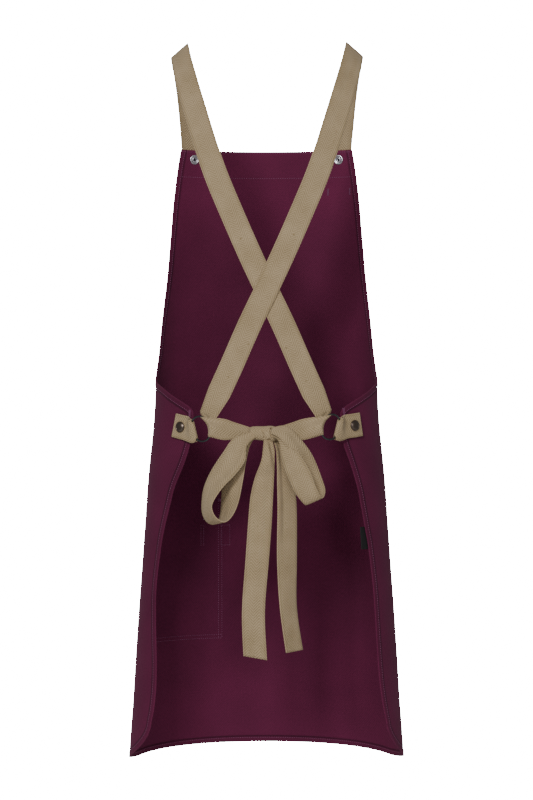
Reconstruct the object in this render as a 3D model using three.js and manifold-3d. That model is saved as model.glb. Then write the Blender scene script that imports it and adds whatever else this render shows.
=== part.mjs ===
// A bib apron as it hangs when it is worn: one wrapped cloth panel, two webbing straps
// that cross at the back, turn round a ring on each hip and are tied in a bow.
// Millimetres, +Z up. The wearer faces +Y, so the back of the apron is on the -Y side.
// The origin lies midway between the two places where the straps rest on the shoulders.
import * as THREE from 'three';
import { mergeVertices } from 'three/addons/utils/BufferGeometryUtils.js';
import Module from 'manifold-3d';

const wasm = await Module();
wasm.setup();

// Cloth panel
const panelLength = 859.5;      // from the top of the bib to the hem
const hemHalf = 193;          // half the width across the hem
const frontReach = 125;       // from the shoulder plane forward to the hem
const clothWall = 1.2;
const strapRise = 130.5;        // from the top of the bib up to the shoulder
const cornerTall = 60;        // the rounded corner of the flap, measured up its rear edge
const hemDrop = 4;            // how much lower the hem hangs at the sides

// Webbing
const tapeWidth = 32;
const tapeWall = 1.6;
const gap = 0.35;             // between pieces that lie on each other
const shoulderHalf = 123;     // from the middle to where a strap crosses the shoulder
const backReach = 123;        // how far behind the shoulder plane the straps cross
const ringFall = 528;         // from the shoulder down to the rings
const strapInset = 104;       // from the middle to the lower end of a strap on the bib
const strapTuck = 33;         // the length of strap that lies on the bib

// Hardware
const ringHole = 32;
const ringWire = 2.5;
const ringYaw = 37;           // degrees that a ring turns towards its hip
const ringPitch = 10;         // degrees that the top of a ring leans away from the body
const ringRoll = 9;           // degrees that a tab and its ring's strap are turned in the ring
const ringLower = { left: 1.4, right: -1.2 }; // how much lower than ringFall each ring hangs
const capSize = 15;
const capHeight = 3;
const backSize = 13.8;
const backHeight = 1.6;
const wireClear = 0.85;        // between a ring's wire and the tape folded round it
const tabPinch = 0.66;        // share of its width that a tab keeps inside its ring
const tabOpen = 0.86;         // and where it comes out over the wire
const discSeat = 1.0;         // a flat disc stands this far off a curved wall at its middle
const tabLength = { left: 30, right: 36.5 };
const ringStandoff = 3;       // between the flap's tape and that round a ring's wire
const tabSag = 0.8;           // a tab's middle lies this far below that of its ring
const capSetback = { left: 16.8, right: 22.5 }; // from the ring's wire to the middle of the cap
const bibSnapDrop = 13;       // from the top of the bib down to the snap
const wireTurn = { left: 140.2, right: 141 }; // degrees of wrap at which a ring's outer wire lies
const tabTilt = { left: 10.5, right: 6.5 }; // degrees that a tab slopes down from its ring
const foldTop = 70;           // degrees round the ring from its inner side where the fold ends
const foldBottom = -47;
const foldLoose = 1.5;        // how much further from the wire a strap's fold runs than a tab's

// Bow
const knotWide = 34;
const knotTall = 20;
const knotDeep = 17;
const knotOffset = -4;        // the knot sits a little to the left of the middle
const knotFall = 535;         // from the shoulder down to the knot
const knotReach = 122;        // from the shoulder plane back to the knot

// Front trim
const patchWall = 1;
const pocketDrop = 503;       // from the top of the bib down to the pocket's mouth
const pocketTall = 205;
const pocketWide = 150;
const pocketInset = 68;       // from the middle to the pocket's near edge
const utilityDrop = 556;
const utilityInset = 53;
const utilitySpan = 42;
const bibLoopDrop = 59;
const bibLoopInset = 88;
const bibLoopSpan = 33;
const bibLoopTall = 10;
const loopSlack = 4;          // how far a sewn loop stands off at its middle
const labelDrop = 549;
const labelTall = 31;
const labelShows = 9.5;
const labelTuck = 6;
const labelWall = 1;

// Girth of the wrapped panel from the bib to the hem. down is a share of the panel's length,
// half of half the hem's width, and front and axis of the front reach.
const sections = [
  { down: 0.000, half: 0.891, front: 0.736, axis: 0.154 },
  { down: 0.083, half: 0.860, front: 0.800, axis: 0.096 },
  { down: 0.150, half: 0.839, front: 0.848, axis: 0.064 },
  { down: 0.218, half: 0.821, front: 0.880, axis: 0.040 },
  { down: 0.284, half: 0.808, front: 0.888, axis: 0.024 },
  { down: 0.352, half: 0.804, front: 0.872, axis: 0.008 },
  { down: 0.438, half: 0.813, front: 0.840, axis: -0.030 },
  { down: 0.547, half: 0.859, front: 0.864, axis: -0.016 },
  { down: 0.646, half: 0.891, front: 0.912, axis: 0.000 },
  { down: 0.777, half: 0.933, front: 0.960, axis: 0.008 },
  { down: 0.907, half: 0.969, front: 0.992, axis: 0.016 },
  { down: 1.010, half: 1.000, front: 1.000, axis: 0.024 },
];

// Outline of the panel, a row for each line of cloth across it. middle and edge are shares
// of the panel's length at the front and at the side edges. left and right are the degrees
// that the cloth wraps round from the front to each edge.
const outline = [
  { middle: 0.000, edge: -0.001, left: 45.7, right: 45.7 },
  { middle: 0.083, edge: 0.083, left: 53.2, right: 53.2 },
  { middle: 0.150, edge: 0.150, left: 58.1, right: 58.1 },
  { middle: 0.218, edge: 0.218, left: 63.7, right: 63.7 },
  { middle: 0.280, edge: 0.284, left: 71.5, right: 71.0 },
  { middle: 0.330, edge: 0.346, left: 79.0, right: 78.5 },
  { middle: 0.352, edge: 0.370, left: 84.5, right: 84.0 },
  { middle: 0.366, edge: 0.384, left: 90.5, right: 91.0 },
  { middle: 0.379, edge: 0.397, left: 110.5, right: 107.5 },
  { middle: 0.393, edge: 0.410, left: 122.8, right: 121.0 },
  { middle: 0.408, edge: 0.421, left: 132.0, right: 131.0 },
  { middle: 0.424, edge: 0.430, left: 138.0, right: 137.2 },
  { middle: 0.440, edge: 0.440, left: 140.6, right: 140.0 },
  { middle: 0.462, edge: 0.462, left: 140.3, right: 140.0 },
  { middle: 0.486, edge: 0.486, left: 139.8, right: 139.4 },
  { middle: 0.520, edge: 0.520, left: 136.5, right: 135.5 },
  { middle: 0.558, edge: 0.558, left: 130.9, right: 131.6 },
  { middle: 0.587, edge: 0.587, left: 128.1, right: 129.7 },
  { middle: 0.624, edge: 0.624, left: 124.6, right: 127.4 },
  { middle: 0.656, edge: 0.656, left: 122.6, right: 125.6 },
  { middle: 0.716, edge: 0.716, left: 120.7, right: 123.8 },
  { middle: 0.768, edge: 0.768, left: 121.9, right: 123.6 },
  { middle: 0.835, edge: 0.835, left: 124.5, right: 123.3 },
  { middle: 0.880, edge: 0.880, left: 125.2, right: 122.4 },
  { middle: 0.918, edge: 0.918, left: 124.2, right: 120.2 },
];
const cornerStart = 0.934;
const cornerTurnLeft = 123;
const cornerTurnRight = 119;
const cornerSweep = 52;       // degrees of wrap that the rounded corner takes up
const cornerRows = 6;
const panelColumns = 30;
const panelLines = 31;
const strapColumns = 4;
const knotSides = 12;
const plateSides = 16;
const ringSides = 26;
const wireSides = 8;

const degrees = THREE.MathUtils.degToRad;
const vec = (x, y, z) => new THREE.Vector3(x, y, z);

// A smooth curve through evenly indexed values, read at a place between them.
function through(values, place) {
  const last = values.length - 1;
  const i = Math.min(Math.floor(place), last - 1);
  const f = place - i;
  const at = (k) => values[Math.max(0, Math.min(last, k))];
  const [p, q, r, s] = [at(i - 1), at(i), at(i + 1), at(i + 2)];
  const m = (r - p) / 2;
  const n = (s - q) / 2;
  const cubic = (2 * q - 2 * r + m + n) * f ** 3 + (-3 * q + 3 * r - 2 * m - n) * f ** 2;
  return cubic + m * f + q;
}

// A column of a table at a height, smoothed between the rows on either side of it.
function atHeight(table, column, down) {
  const rows = table.map((row) => row.down);
  let i = 0;
  while (i < rows.length - 2 && down > rows[i + 1]) i += 1;
  const f = THREE.MathUtils.clamp((down - rows[i]) / (rows[i + 1] - rows[i]), 0, 1);
  return through(table.map((row) => row[column]), i + f);
}

// The middle of the cloth at a wrap angle and a distance below the top of the bib.
// Positive angles lie to the right, and 90 degrees is the side of the body.
function clothAt(turn, drop) {
  const down = drop / panelLength;
  const half = hemHalf * atHeight(sections, 'half', down);
  const front = frontReach * atHeight(sections, 'front', down);
  const axis = frontReach * atHeight(sections, 'axis', down);
  const angle = degrees(turn);
  return vec(half * Math.sin(angle), axis + (front - axis) * Math.cos(angle), -strapRise - drop);
}

// The direction that points out of the cloth, away from the body.
function clothOut(turn, drop) {
  const across = clothAt(turn + 0.5, drop).sub(clothAt(turn - 0.5, drop));
  const downwards = clothAt(turn, drop + 1).sub(clothAt(turn, drop - 1));
  return downwards.cross(across).normalize().negate();
}

// A place on the panel, lifted off its middle surface.
function onCloth(turn, drop, lift) {
  return clothAt(turn, drop).addScaledVector(clothOut(turn, drop), lift);
}

// Degrees of wrap for a length measured along the cloth, near a given place.
function wrapFor(length, turn, drop) {
  const step = clothAt(turn + 0.5, drop).distanceTo(clothAt(turn - 0.5, drop));
  return length / step;
}

// The wrap angle at which the front half of the panel is a given distance from the middle.
function turnAt(inset, drop) {
  const half = clothAt(90, drop).x;
  return THREE.MathUtils.radToDeg(Math.asin(inset / half));
}

function closedGeometry(points, faces) {
  const geometry = new THREE.BufferGeometry();
  geometry.setAttribute('position', new THREE.Float32BufferAttribute(points.flatMap((p) => p.toArray()), 3));
  geometry.setIndex(faces.flat());
  let volume = 0;
  for (const [i, j, k] of faces) {
    volume += points[i].dot(points[j].clone().cross(points[k]));
  }
  if (volume < 0) geometry.setIndex(faces.flatMap(([i, j, k]) => [i, k, j]));
  return geometry;
}

// A wall of even thickness round a grid of points, closed along its four edges.
function wallGeometry(grid, wall) {
  const rows = grid.length;
  const columns = grid[0].length;
  const normals = grid.map((row, i) => row.map((point, j) => {
    const along = grid[Math.min(i + 1, rows - 1)][j].clone().sub(grid[Math.max(i - 1, 0)][j]);
    const across = row[Math.min(j + 1, columns - 1)].clone().sub(row[Math.max(j - 1, 0)]);
    return along.cross(across).normalize();
  }));
  const points = [];
  for (const side of [wall / 2, -wall / 2]) {
    grid.forEach((row, i) => row.forEach((p, j) => points.push(p.clone().addScaledVector(normals[i][j], side))));
  }
  const at = (side, i, j) => (side * rows + i) * columns + j;
  const faces = [];
  for (let i = 0; i < rows - 1; i += 1) {
    for (let j = 0; j < columns - 1; j += 1) {
      faces.push([at(0, i, j), at(0, i + 1, j), at(0, i + 1, j + 1)]);
      faces.push([at(0, i, j), at(0, i + 1, j + 1), at(0, i, j + 1)]);
      faces.push([at(1, i, j), at(1, i + 1, j + 1), at(1, i + 1, j)]);
      faces.push([at(1, i, j), at(1, i, j + 1), at(1, i + 1, j + 1)]);
    }
  }
  const rim = [];
  for (let j = 0; j < columns - 1; j += 1) rim.push([0, j]);
  for (let i = 0; i < rows - 1; i += 1) rim.push([i, columns - 1]);
  for (let j = columns - 1; j > 0; j -= 1) rim.push([rows - 1, j]);
  for (let i = rows - 1; i > 0; i -= 1) rim.push([i, 0]);
  rim.forEach(([i, j], k) => {
    const [m, n] = rim[(k + 1) % rim.length];
    faces.push([at(0, i, j), at(0, m, n), at(1, m, n)]);
    faces.push([at(0, i, j), at(1, m, n), at(1, i, j)]);
  });
  return closedGeometry(points, faces);
}

// A ribbon through rows that each give its two edges and how far its middle bows out.
function ribbonGrid(rows, between, columns) {
  const count = (rows.length - 1) * between;
  const grid = [];
  for (let i = 0; i <= count; i += 1) {
    const place = i / between;
    const read = (name) => vec(...['x', 'y', 'z'].map((axis) => through(rows.map((row) => row[name][axis]), place)));
    const [a, b, bow] = ['a', 'b', 'bow'].map(read);
    const line = [];
    for (let j = 0; j <= columns; j += 1) {
      const u = (2 * j) / columns - 1;
      line.push(a.clone().lerp(b, j / columns).addScaledVector(bow, 1 - u * u));
    }
    grid.push(line);
  }
  return grid;
}

function toSolid(geometry) {
  const bare = geometry.clone();
  bare.deleteAttribute('normal');
  bare.deleteAttribute('uv');
  const merged = mergeVertices(bare, 1e-4);
  const vertProperties = new Float32Array(merged.attributes.position.array);
  const triVerts = new Uint32Array(merged.index.array);
  return new wasm.Manifold(new wasm.Mesh({ numProp: 3, vertProperties, triVerts }));
}

function fromSolid(solid) {
  const mesh = solid.getMesh();
  const geometry = new THREE.BufferGeometry();
  geometry.setAttribute('position', new THREE.BufferAttribute(new Float32Array(mesh.vertProperties), 3));
  geometry.setIndex(new THREE.BufferAttribute(new Uint32Array(mesh.triVerts), 1));
  return geometry;
}

// Finishes: cotton twill, herringbone webbing, dark plated steel and brass, and a woven label.
const twill = () => new THREE.MeshStandardMaterial({ color: '#4d1a2c', roughness: 0.9, metalness: 0 });
const webbing = () => new THREE.MeshStandardMaterial({ color: '#95836a', roughness: 0.9, metalness: 0 });
const gunmetal = () => new THREE.MeshStandardMaterial({ color: '#4a4f50', roughness: 0.35, metalness: 1 });
const bronze = () => new THREE.MeshStandardMaterial({ color: '#4b4038', roughness: 0.35, metalness: 1 });
const nickel = () => new THREE.MeshStandardMaterial({ color: '#c9c6ce', roughness: 0.3, metalness: 1 });
const blackTape = () => new THREE.MeshStandardMaterial({ color: '#0d0c0f', roughness: 0.8, metalness: 0 });

const apron = new THREE.Group();

function addPiece(name, geometry, material) {
  const mesh = new THREE.Mesh(geometry, material);
  mesh.name = name;
  apron.add(mesh);
  return mesh;
}

// The panel: lines of cloth from the left edge to the right one, then the rounded corners.
function panelGrid() {
  const lines = [];
  for (let i = 0; i <= panelLines; i += 1) {
    const place = (i * (outline.length - 1)) / panelLines;
    const read = (column) => through(outline.map((row) => row[column]), place);
    lines.push({ middle: read('middle'), edge: read('edge'), left: read('left'), right: read('right') });
  }
  for (let i = 0; i <= cornerRows; i += 1) {
    const swing = (i / cornerRows) * Math.PI / 2;
    const inward = cornerSweep * (1 - Math.cos(swing));
    lines.push({
      middle: THREE.MathUtils.lerp(cornerStart, 1, i / cornerRows),
      edge: cornerStart + ((cornerTall + hemDrop) / panelLength) * Math.sin(swing),
      left: cornerTurnLeft - inward,
      right: cornerTurnRight - inward,
    });
  }
  return lines.map((line) => {
    const row = [];
    for (let j = 0; j <= panelColumns; j += 1) {
      const u = (2 * j) / panelColumns - 1;
      const turn = u < 0 ? u * line.left : u * line.right;
      const down = THREE.MathUtils.lerp(line.middle, line.edge, Math.abs(u) ** 2.5);
      row.push(clothAt(turn, down * panelLength));
    }
    return row;
  });
}

// A small round plate whose profile turns about its own middle and faces along a direction.
function plateGeometry(profile, centre, facing, sides) {
  const geometry = new THREE.LatheGeometry(profile.map(([r, h]) => new THREE.Vector2(r, h)), sides);
  const turn = new THREE.Quaternion().setFromUnitVectors(vec(0, 1, 0), facing);
  geometry.applyQuaternion(turn);
  geometry.translate(centre.x, centre.y, centre.z);
  return fromSolid(toSolid(geometry));
}

// A domed cap with a rolled rim.
function capGeometry(centre, facing) {
  const r = capSize / 2;
  const h = capHeight;
  const profile = [[0, 0], [r, 0], [r, h * 0.45], [r * 0.9, h * 0.8], [r * 0.5, h * 0.95], [0, h]];
  return plateGeometry(profile, centre, facing, plateSides);
}

// A dished plate, the side of a snap that lies against the body.
function snapBackGeometry(centre, facing) {
  const r = backSize / 2;
  const h = backHeight;
  const profile = [[0, 0], [r, 0], [r, h * 0.4], [r * 0.8, h], [r * 0.45, h * 0.8], [r * 0.3, h * 0.35], [0, h * 0.35]];
  return plateGeometry(profile, centre, facing, plateSides);
}

// The frame of a ring: its middle, the way towards the middle of the back, up and outwards.
const wireRadius = ringWire / 2;
const ringRadius = (ringHole + ringWire) / 2;
const tapeOnCloth = (clothWall + tapeWall) / 2 + gap;
const tapeRound = wireRadius + wireClear + tapeWall / 2;
const ringDrop = ringFall - strapRise;

const sideOf = { left: -1, right: 1 };
const farRing = { left: 'right', right: 'left' };
const dropOfRing = (name) => ringDrop + ringLower[name];

function ringFrame(name) {
  const side = sideOf[name];
  const yaw = degrees(ringYaw);
  const roll = degrees(ringRoll);
  const inward = vec(-side * Math.cos(yaw), -Math.sin(yaw), 0);
  const level = vec(side * Math.sin(yaw), -Math.cos(yaw), 0);
  const pitch = degrees(ringPitch);
  const out = level.clone().multiplyScalar(Math.cos(pitch)).addScaledVector(vec(0, 0, 1), -Math.sin(pitch));
  const rise = vec(0, 0, 1).multiplyScalar(Math.cos(pitch)).addScaledVector(level, Math.sin(pitch));
  const wireLift = tapeOnCloth + tapeRound + ringStandoff;
  const middle = onCloth(side * wireTurn[name], dropOfRing(name), wireLift).addScaledVector(inward, ringRadius);
  const h = inward.clone().multiplyScalar(Math.cos(roll)).addScaledVector(rise, Math.sin(roll));
  const k = rise.clone().multiplyScalar(Math.cos(roll)).addScaledVector(inward, -Math.sin(roll));
  const at = (along, up, away) => middle.clone().addScaledVector(h, along).addScaledVector(k, up)
    .addScaledVector(out, away);
  return { at, h, k, out };
}

// The knot is a drawn-in bundle of tape lying across the middle of the back. Each row gives
// its place across, its height, and how tall and deep it is, as shares of the knot's sizes.
const knotRows = [
  { across: -0.56, up: 0.02, tall: 0.46, deep: 0.42 },
  { across: -0.50, up: 0.02, tall: 0.86, deep: 0.78 },
  { across: -0.30, up: 0.02, tall: 0.92, deep: 0.94 },
  { across: 0.00, up: -0.01, tall: 0.96, deep: 1.00 },
  { across: 0.25, up: -0.04, tall: 1.10, deep: 1.08 },
  { across: 0.44, up: -0.03, tall: 0.98, deep: 0.94 },
  { across: 0.54, up: 0.00, tall: 0.55, deep: 0.52 },
];
const knotMiddle = vec(knotOffset, -knotReach, -knotFall);

function knotGeometry(grow) {
  const points = [];
  knotRows.forEach((row, i) => {
    const end = i === 0 ? -grow : Number(i === knotRows.length - 1) * grow;
    for (let j = 0; j < knotSides; j += 1) {
      const angle = (2 * Math.PI * j) / knotSides;
      points.push(vec(
        knotWide * row.across + end,
        ((knotDeep * row.deep) / 2 + grow) * Math.cos(angle),
        knotTall * row.up + ((knotTall * row.tall) / 2 + grow) * Math.sin(angle),
      ).add(knotMiddle));
    }
  });
  const faces = [];
  const last = (knotRows.length - 1) * knotSides;
  for (let i = 0; i < knotRows.length - 1; i += 1) {
    for (let j = 0; j < knotSides; j += 1) {
      const [a, b] = [i * knotSides + j, i * knotSides + ((j + 1) % knotSides)];
      faces.push([a, b, b + knotSides], [a, b + knotSides, a + knotSides]);
    }
  }
  for (let j = 1; j < knotSides - 1; j += 1) {
    faces.push([0, j + 1, j], [last, last + j, last + j + 1]);
  }
  return closedGeometry(points, faces);
}

// Places by the knot are in tape widths across, away from the body and up.
const byKnot = ([across, away, up]) => knotMiddle.clone().add(vec(across, away, up).multiplyScalar(tapeWidth));

// A shoulder strap: up from the bib, over the shoulder, down across the back, round the ring
// of the other hip and back to the knot. across is a share of shoulderHalf, back of
// backReach and fall of ringFall; facing is the direction that the outside of the tape faces.
const strapRoute = [
  { across: 0.893, back: -0.540, fall: 0.184, facing: [0.40, 0.86, 0.30] },
  { across: 0.923, back: -0.420, fall: 0.112, facing: [0.46, 0.72, 0.50] },
  { across: 0.962, back: -0.270, fall: 0.048, facing: [0.56, 0.50, 0.66] },
  { across: 0.995, back: -0.105, fall: 0.010, facing: [0.64, 0.22, 0.73] },
  { across: 1.000, back: 0.065, fall: -0.0015, facing: [0.66, -0.04, 0.75] },
  { across: 0.985, back: 0.240, fall: 0.012, facing: [0.62, -0.30, 0.72] },
  { across: 0.952, back: 0.410, fall: 0.048, facing: [0.54, -0.55, 0.63] },
  { across: 0.885, back: 0.575, fall: 0.106, facing: [0.42, -0.74, 0.50] },
  { across: 0.785, back: 0.725, fall: 0.186, facing: [0.28, -0.88, 0.34] },
  { across: 0.662, back: 0.840, fall: 0.280, facing: [0.18, -0.95, 0.20] },
  { across: 0.545, back: 0.915, fall: 0.358, facing: [0.10, -0.98, 0.11] },
  { across: 0.375, back: 0.970, fall: 0.453, facing: [0.05, -1, 0.05] },
  { across: 0.187, back: 0.995, fall: 0.553, facing: [0.02, -1, 0.02] },
  { across: 0.000, back: 1.000, fall: 0.646, facing: [0, -1, 0] },
  { across: -0.190, back: 0.985, fall: 0.738, facing: [-0.03, -1, -0.02] },
  { across: -0.375, back: 0.960, fall: 0.836, facing: [-0.08, -1, -0.03] },
  { across: -0.520, back: 0.935, fall: 0.910, facing: [-0.18, -0.97, -0.03] },
];
const strapOnBib = tapeOnCloth + gap;
const crossingLift = tapeWall / 2 + gap;
const foldRound = tapeRound + foldLoose;

function strapRows(side, lift) {
  const rows = [];
  const plain = vec(0, 0, 0);
  const half = tapeWidth / 2;
  for (const drop of [strapTuck, strapTuck * 0.6, strapTuck * 0.25, 0]) {
    const turn = side * turnAt(strapInset + (1 - drop / strapTuck) * 3, Math.max(drop, 0));
    const swing = wrapFor(half, turn, drop) * side;
    const lying = [turn - swing, turn + swing].map((place) => onCloth(place, drop, strapOnBib));
    rows.push({ a: lying[0], b: lying[1], bow: plain });
  }
  rows.forEach((row) => {
    const chord = row.a.clone().add(row.b).multiplyScalar(0.5);
    const drop = -strapRise - chord.z;
    const turn = side * turnAt(Math.abs(chord.x), drop);
    row.bow = onCloth(turn, drop, strapOnBib).sub(chord);
  });
  const route = strapRoute.map((row) => vec(
    side * row.across * shoulderHalf,
    -row.back * backReach,
    -row.fall * ringFall,
  ));
  route.forEach((point, i) => {
    const before = i === 0 ? rows[rows.length - 1].a.clone().add(rows[rows.length - 1].b).multiplyScalar(0.5)
      : route[i - 1];
    const after = route[Math.min(i + 1, route.length - 1)];
    const along = after.clone().sub(before).normalize();
    const [fx, fy, fz] = strapRoute[i].facing;
    const facing = vec(side * fx, fy, fz);
    const across = facing.clone().cross(along).multiplyScalar(-side).normalize();
    const centre = point.clone().addScaledVector(facing.normalize(), lift);
    rows.push({
      a: centre.clone().addScaledVector(across, half),
      b: centre.clone().addScaledVector(across, -half),
      bow: plain,
    });
  });
  return rows;
}

// Where the two edges of a strap pass its ring, in ring radii along the ring and up.
const foldGuides = {
  above: { a: [0.12, 1.35], b: [1.57, 0.59] },
  entry: { a: [0.17, 1.12], b: [1.04, -0.23] },
  exit: { a: [0.62, 0.90], b: [0.90, -0.75] },
};

// The tie band between a ring and the knot, in tape widths from the knot's middle.
const tieBand = [
  { across: 1.72, away: 0.12, top: 0.62, bottom: -0.28 },
  { across: 1.22, away: 0.20, top: 0.46, bottom: -0.27 },
  { across: 0.66, away: 0.26, top: 0.28, bottom: -0.24 },
  { across: 0.30, away: 0.20, top: 0.16, bottom: -0.14 },
];

// The fold round the far ring and the tie band that leads from it to the knot.
function foldRows(name) {
  const side = sideOf[name];
  const ring = ringFrame(farRing[name]);
  const [top, bottom] = [degrees(foldTop), degrees(foldBottom)];
  const centre = (top + bottom) / 2;
  const rows = [];
  const plain = vec(0, 0, 0);
  const behind = -foldRound - gap;
  const bulge = ring.h.clone().multiplyScalar(ringRadius / 2);
  const inRadii = ([along, up], away) => ring.at(along * ringRadius, up * ringRadius, away);
  rows.push({ a: inRadii(foldGuides.above.a, behind), b: inRadii(foldGuides.above.b, behind), bow: plain });
  rows.push({ a: inRadii(foldGuides.entry.a, -foldRound), b: inRadii(foldGuides.entry.b, -foldRound), bow: bulge });
  for (const swing of [-90, -45, 0, 45, 90]) {
    const angle = degrees(swing);
    const radius = ringRadius - foldRound * Math.cos(angle);
    const spot = (place) => ring.at(radius * Math.cos(place), radius * Math.sin(place), foldRound * Math.sin(angle));
    const [a, b] = [spot(top), spot(bottom)];
    rows.push({ a, b, bow: spot(centre).sub(a.clone().add(b).multiplyScalar(0.5)) });
  }
  rows.push({ a: inRadii(foldGuides.exit.a, foldRound), b: inRadii(foldGuides.exit.b, foldRound), bow: bulge });
  for (const { across, away, top: up, bottom: low } of tieBand) {
    rows.push({ a: byKnot([-side * across, away, up]), b: byKnot([-side * across, away, low]), bow: plain });
  }
  return rows;
}

const knot = knotGeometry(0);
const knotRoom = toSolid(knotGeometry(gap));

// A tape that comes out of the knot is cut where it meets it.
function trimmed(geometry) {
  return fromSolid(toSolid(geometry).subtract(knotRoom));
}

function strapGeometry(name, lift) {
  const over = ribbonGrid(strapRows(sideOf[name], lift), 2, strapColumns);
  const round = ribbonGrid(foldRows(name), 2, strapColumns);
  return trimmed(wallGeometry([...over, ...round], tapeWall));
}

// Bow loops and tails, a row for each section, with one edge and the other in tape widths.
const leftLoop = [
  { near: [-0.25, -0.14, -0.10], far: [-0.35, -0.12, 0.10] },
  { near: [-0.69, -0.38, -0.52], far: [-1.23, -0.19, -0.19] },
  { near: [-0.78, -0.56, -1.15], far: [-1.69, -0.19, -0.78] },
  { near: [-1.23, -0.66, -1.77], far: [-2.20, -0.06, -1.56] },
  { near: [-1.69, -0.75, -2.23], far: [-2.49, 0.06, -2.20] },
  { near: [-2.11, -0.78, -2.86], far: [-2.60, 0.12, -2.73] },
  { near: [-2.13, -0.78, -3.23], far: [-2.60, 0.16, -3.35] },
  { near: [-1.92, -0.75, -3.56], far: [-2.40, 0.19, -3.75] },
  { near: [-1.57, -0.70, -3.68], far: [-2.10, 0.22, -3.84] },
  { near: [-1.25, -0.62, -3.35], far: [-1.87, 0.22, -3.55] },
  { near: [-1.03, -0.50, -2.79], far: [-1.80, 0.22, -3.03] },
  { near: [-0.86, -0.38, -1.95], far: [-1.74, 0.19, -2.20] },
  { near: [-0.74, -0.25, -1.25], far: [-1.45, 0.14, -1.30] },
  { near: [-0.58, -0.10, -0.55], far: [-0.92, 0.10, -0.50] },
  { near: [-0.28, 0.00, -0.08], far: [-0.35, 0.06, 0.06] },
];
const rightLoop = [
  { near: [0.20, -0.16, -0.05], far: [0.28, -0.18, 0.12] },
  { near: [0.70, -0.38, -0.74], far: [1.19, -0.50, -0.40] },
  { near: [0.84, -0.48, -1.36], far: [1.63, -0.66, -1.04] },
  { near: [1.04, -0.56, -1.86], far: [1.95, -0.76, -1.59] },
  { near: [1.31, -0.60, -2.45], far: [2.17, -0.80, -2.17] },
  { near: [1.61, -0.56, -2.86], far: [2.36, -0.76, -2.57] },
  { near: [1.78, -0.40, -3.00], far: [2.50, -0.56, -2.68] },
  { near: [1.83, -0.14, -2.80], far: [2.60, -0.24, -2.42] },
  { near: [1.66, 0.00, -2.17], far: [2.50, -0.06, -2.01] },
  { near: [1.37, 0.02, -1.33], far: [2.10, -0.02, -1.06] },
  { near: [1.03, 0.02, -0.58], far: [1.64, 0.00, -0.47] },
  { near: [0.72, 0.02, -0.20], far: [1.10, 0.02, 0.10] },
  { near: [0.20, 0.00, -0.05], far: [0.30, 0.00, 0.12] },
];
const leftTail = [
  { near: [0.02, -0.04, -0.10], far: [0.22, -0.04, -0.10] },
  { near: [-0.02, -0.10, -0.60], far: [0.30, -0.10, -0.62] },
  { near: [-0.10, -0.12, -1.15], far: [0.42, -0.08, -1.15] },
  { near: [-0.37, -0.10, -1.88], far: [0.45, -0.04, -1.75] },
  { near: [-0.55, -0.06, -2.66], far: [0.41, -0.02, -2.55] },
  { near: [-0.64, -0.03, -3.62], far: [0.34, 0.00, -3.85] },
  { near: [-0.76, 0.00, -5.31], far: [0.23, 0.03, -5.31] },
  { near: [-0.91, 0.04, -7.54], far: [0.06, 0.06, -7.54] },
  { near: [-0.85, 0.10, -9.40], far: [0.15, 0.10, -9.58] },
];
const rightTail = [
  { near: [0.25, 0.10, -0.08], far: [0.35, 0.12, 0.08] },
  { near: [0.50, 0.14, -0.60], far: [0.90, 0.22, -0.52] },
  { near: [0.56, 0.06, -1.30], far: [1.12, 0.26, -1.20] },
  { near: [0.57, 0.00, -2.10], far: [1.28, 0.30, -1.90] },
  { near: [0.59, -0.04, -3.23], far: [1.40, 0.40, -3.10] },
  { near: [0.57, -0.02, -5.32], far: [1.41, 0.48, -5.28] },
  { near: [0.69, 0.00, -7.37], far: [1.41, 0.62, -7.35] },
  { near: [0.95, 0.02, -9.27], far: [1.67, 0.64, -9.20] },
];

function bowGeometry(table) {
  const rows = table.map((row) => ({ a: byKnot(row.near), b: byKnot(row.far), bow: vec(0, 0, 0) }));
  return trimmed(wallGeometry(ribbonGrid(rows, 2, 2), tapeWall));
}

// A tab is tape that goes round the outer wire of its ring and lies double on the flap. It is
// pinched narrow inside the ring, where its fold lies across the hole.
function tabGeometry(name) {
  const side = sideOf[name];
  const ring = ringFrame(name);
  const tilt = tabTilt[name];
  const long = tabLength[name];
  const wireDrop = dropOfRing(name) + tabSag;
  const inner = tapeOnCloth;
  const outer = inner + tapeWall + gap;
  const slope = Math.tan(degrees(tilt));
  const half = tapeWidth / 2;
  const foldAt = ringRadius - tapeRound - wireRadius;
  const onFlap = (length, lift) => [-1, 0, 1].map((u) => {
    const drop = wireDrop - u * half - length * slope;
    const turn = wireTurn[name] - wrapFor(length - u * half * slope, wireTurn[name], wireDrop);
    return onCloth(side * turn, drop, lift);
  });
  const inRing = (along, away, share, lean = 0) => [-1, 0, 1].map((u) => {
    const up = u * half * share;
    return ring.at(lean * up - along, up - tabSag / 2, away);
  });
  const upright = Math.tan(degrees(ringRoll));
  const grid = [onFlap(long, inner), onFlap(long * 0.6, inner), onFlap(tapeRound * 3, inner)];
  grid.push(inRing(ringRadius + wireRadius, -tapeRound, tabOpen, upright));
  for (const swing of [-90, -45, 0, 45, 90]) {
    const angle = degrees(swing);
    const share = tabPinch + (1 - Math.cos(angle)) * (tabOpen - tabPinch) * 0.7;
    grid.push(inRing(foldAt - tapeRound * Math.cos(angle), tapeRound * Math.sin(angle), share));
  }
  grid.push(inRing(ringRadius + wireRadius, tapeRound, tabOpen, upright));
  grid.push(onFlap(tapeRound * 3, outer + gap * 4), onFlap(long * 0.45, outer));
  grid.push(onFlap(long * 0.7, outer), onFlap(long, outer));
  return wallGeometry(grid, tapeWall);
}

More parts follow.
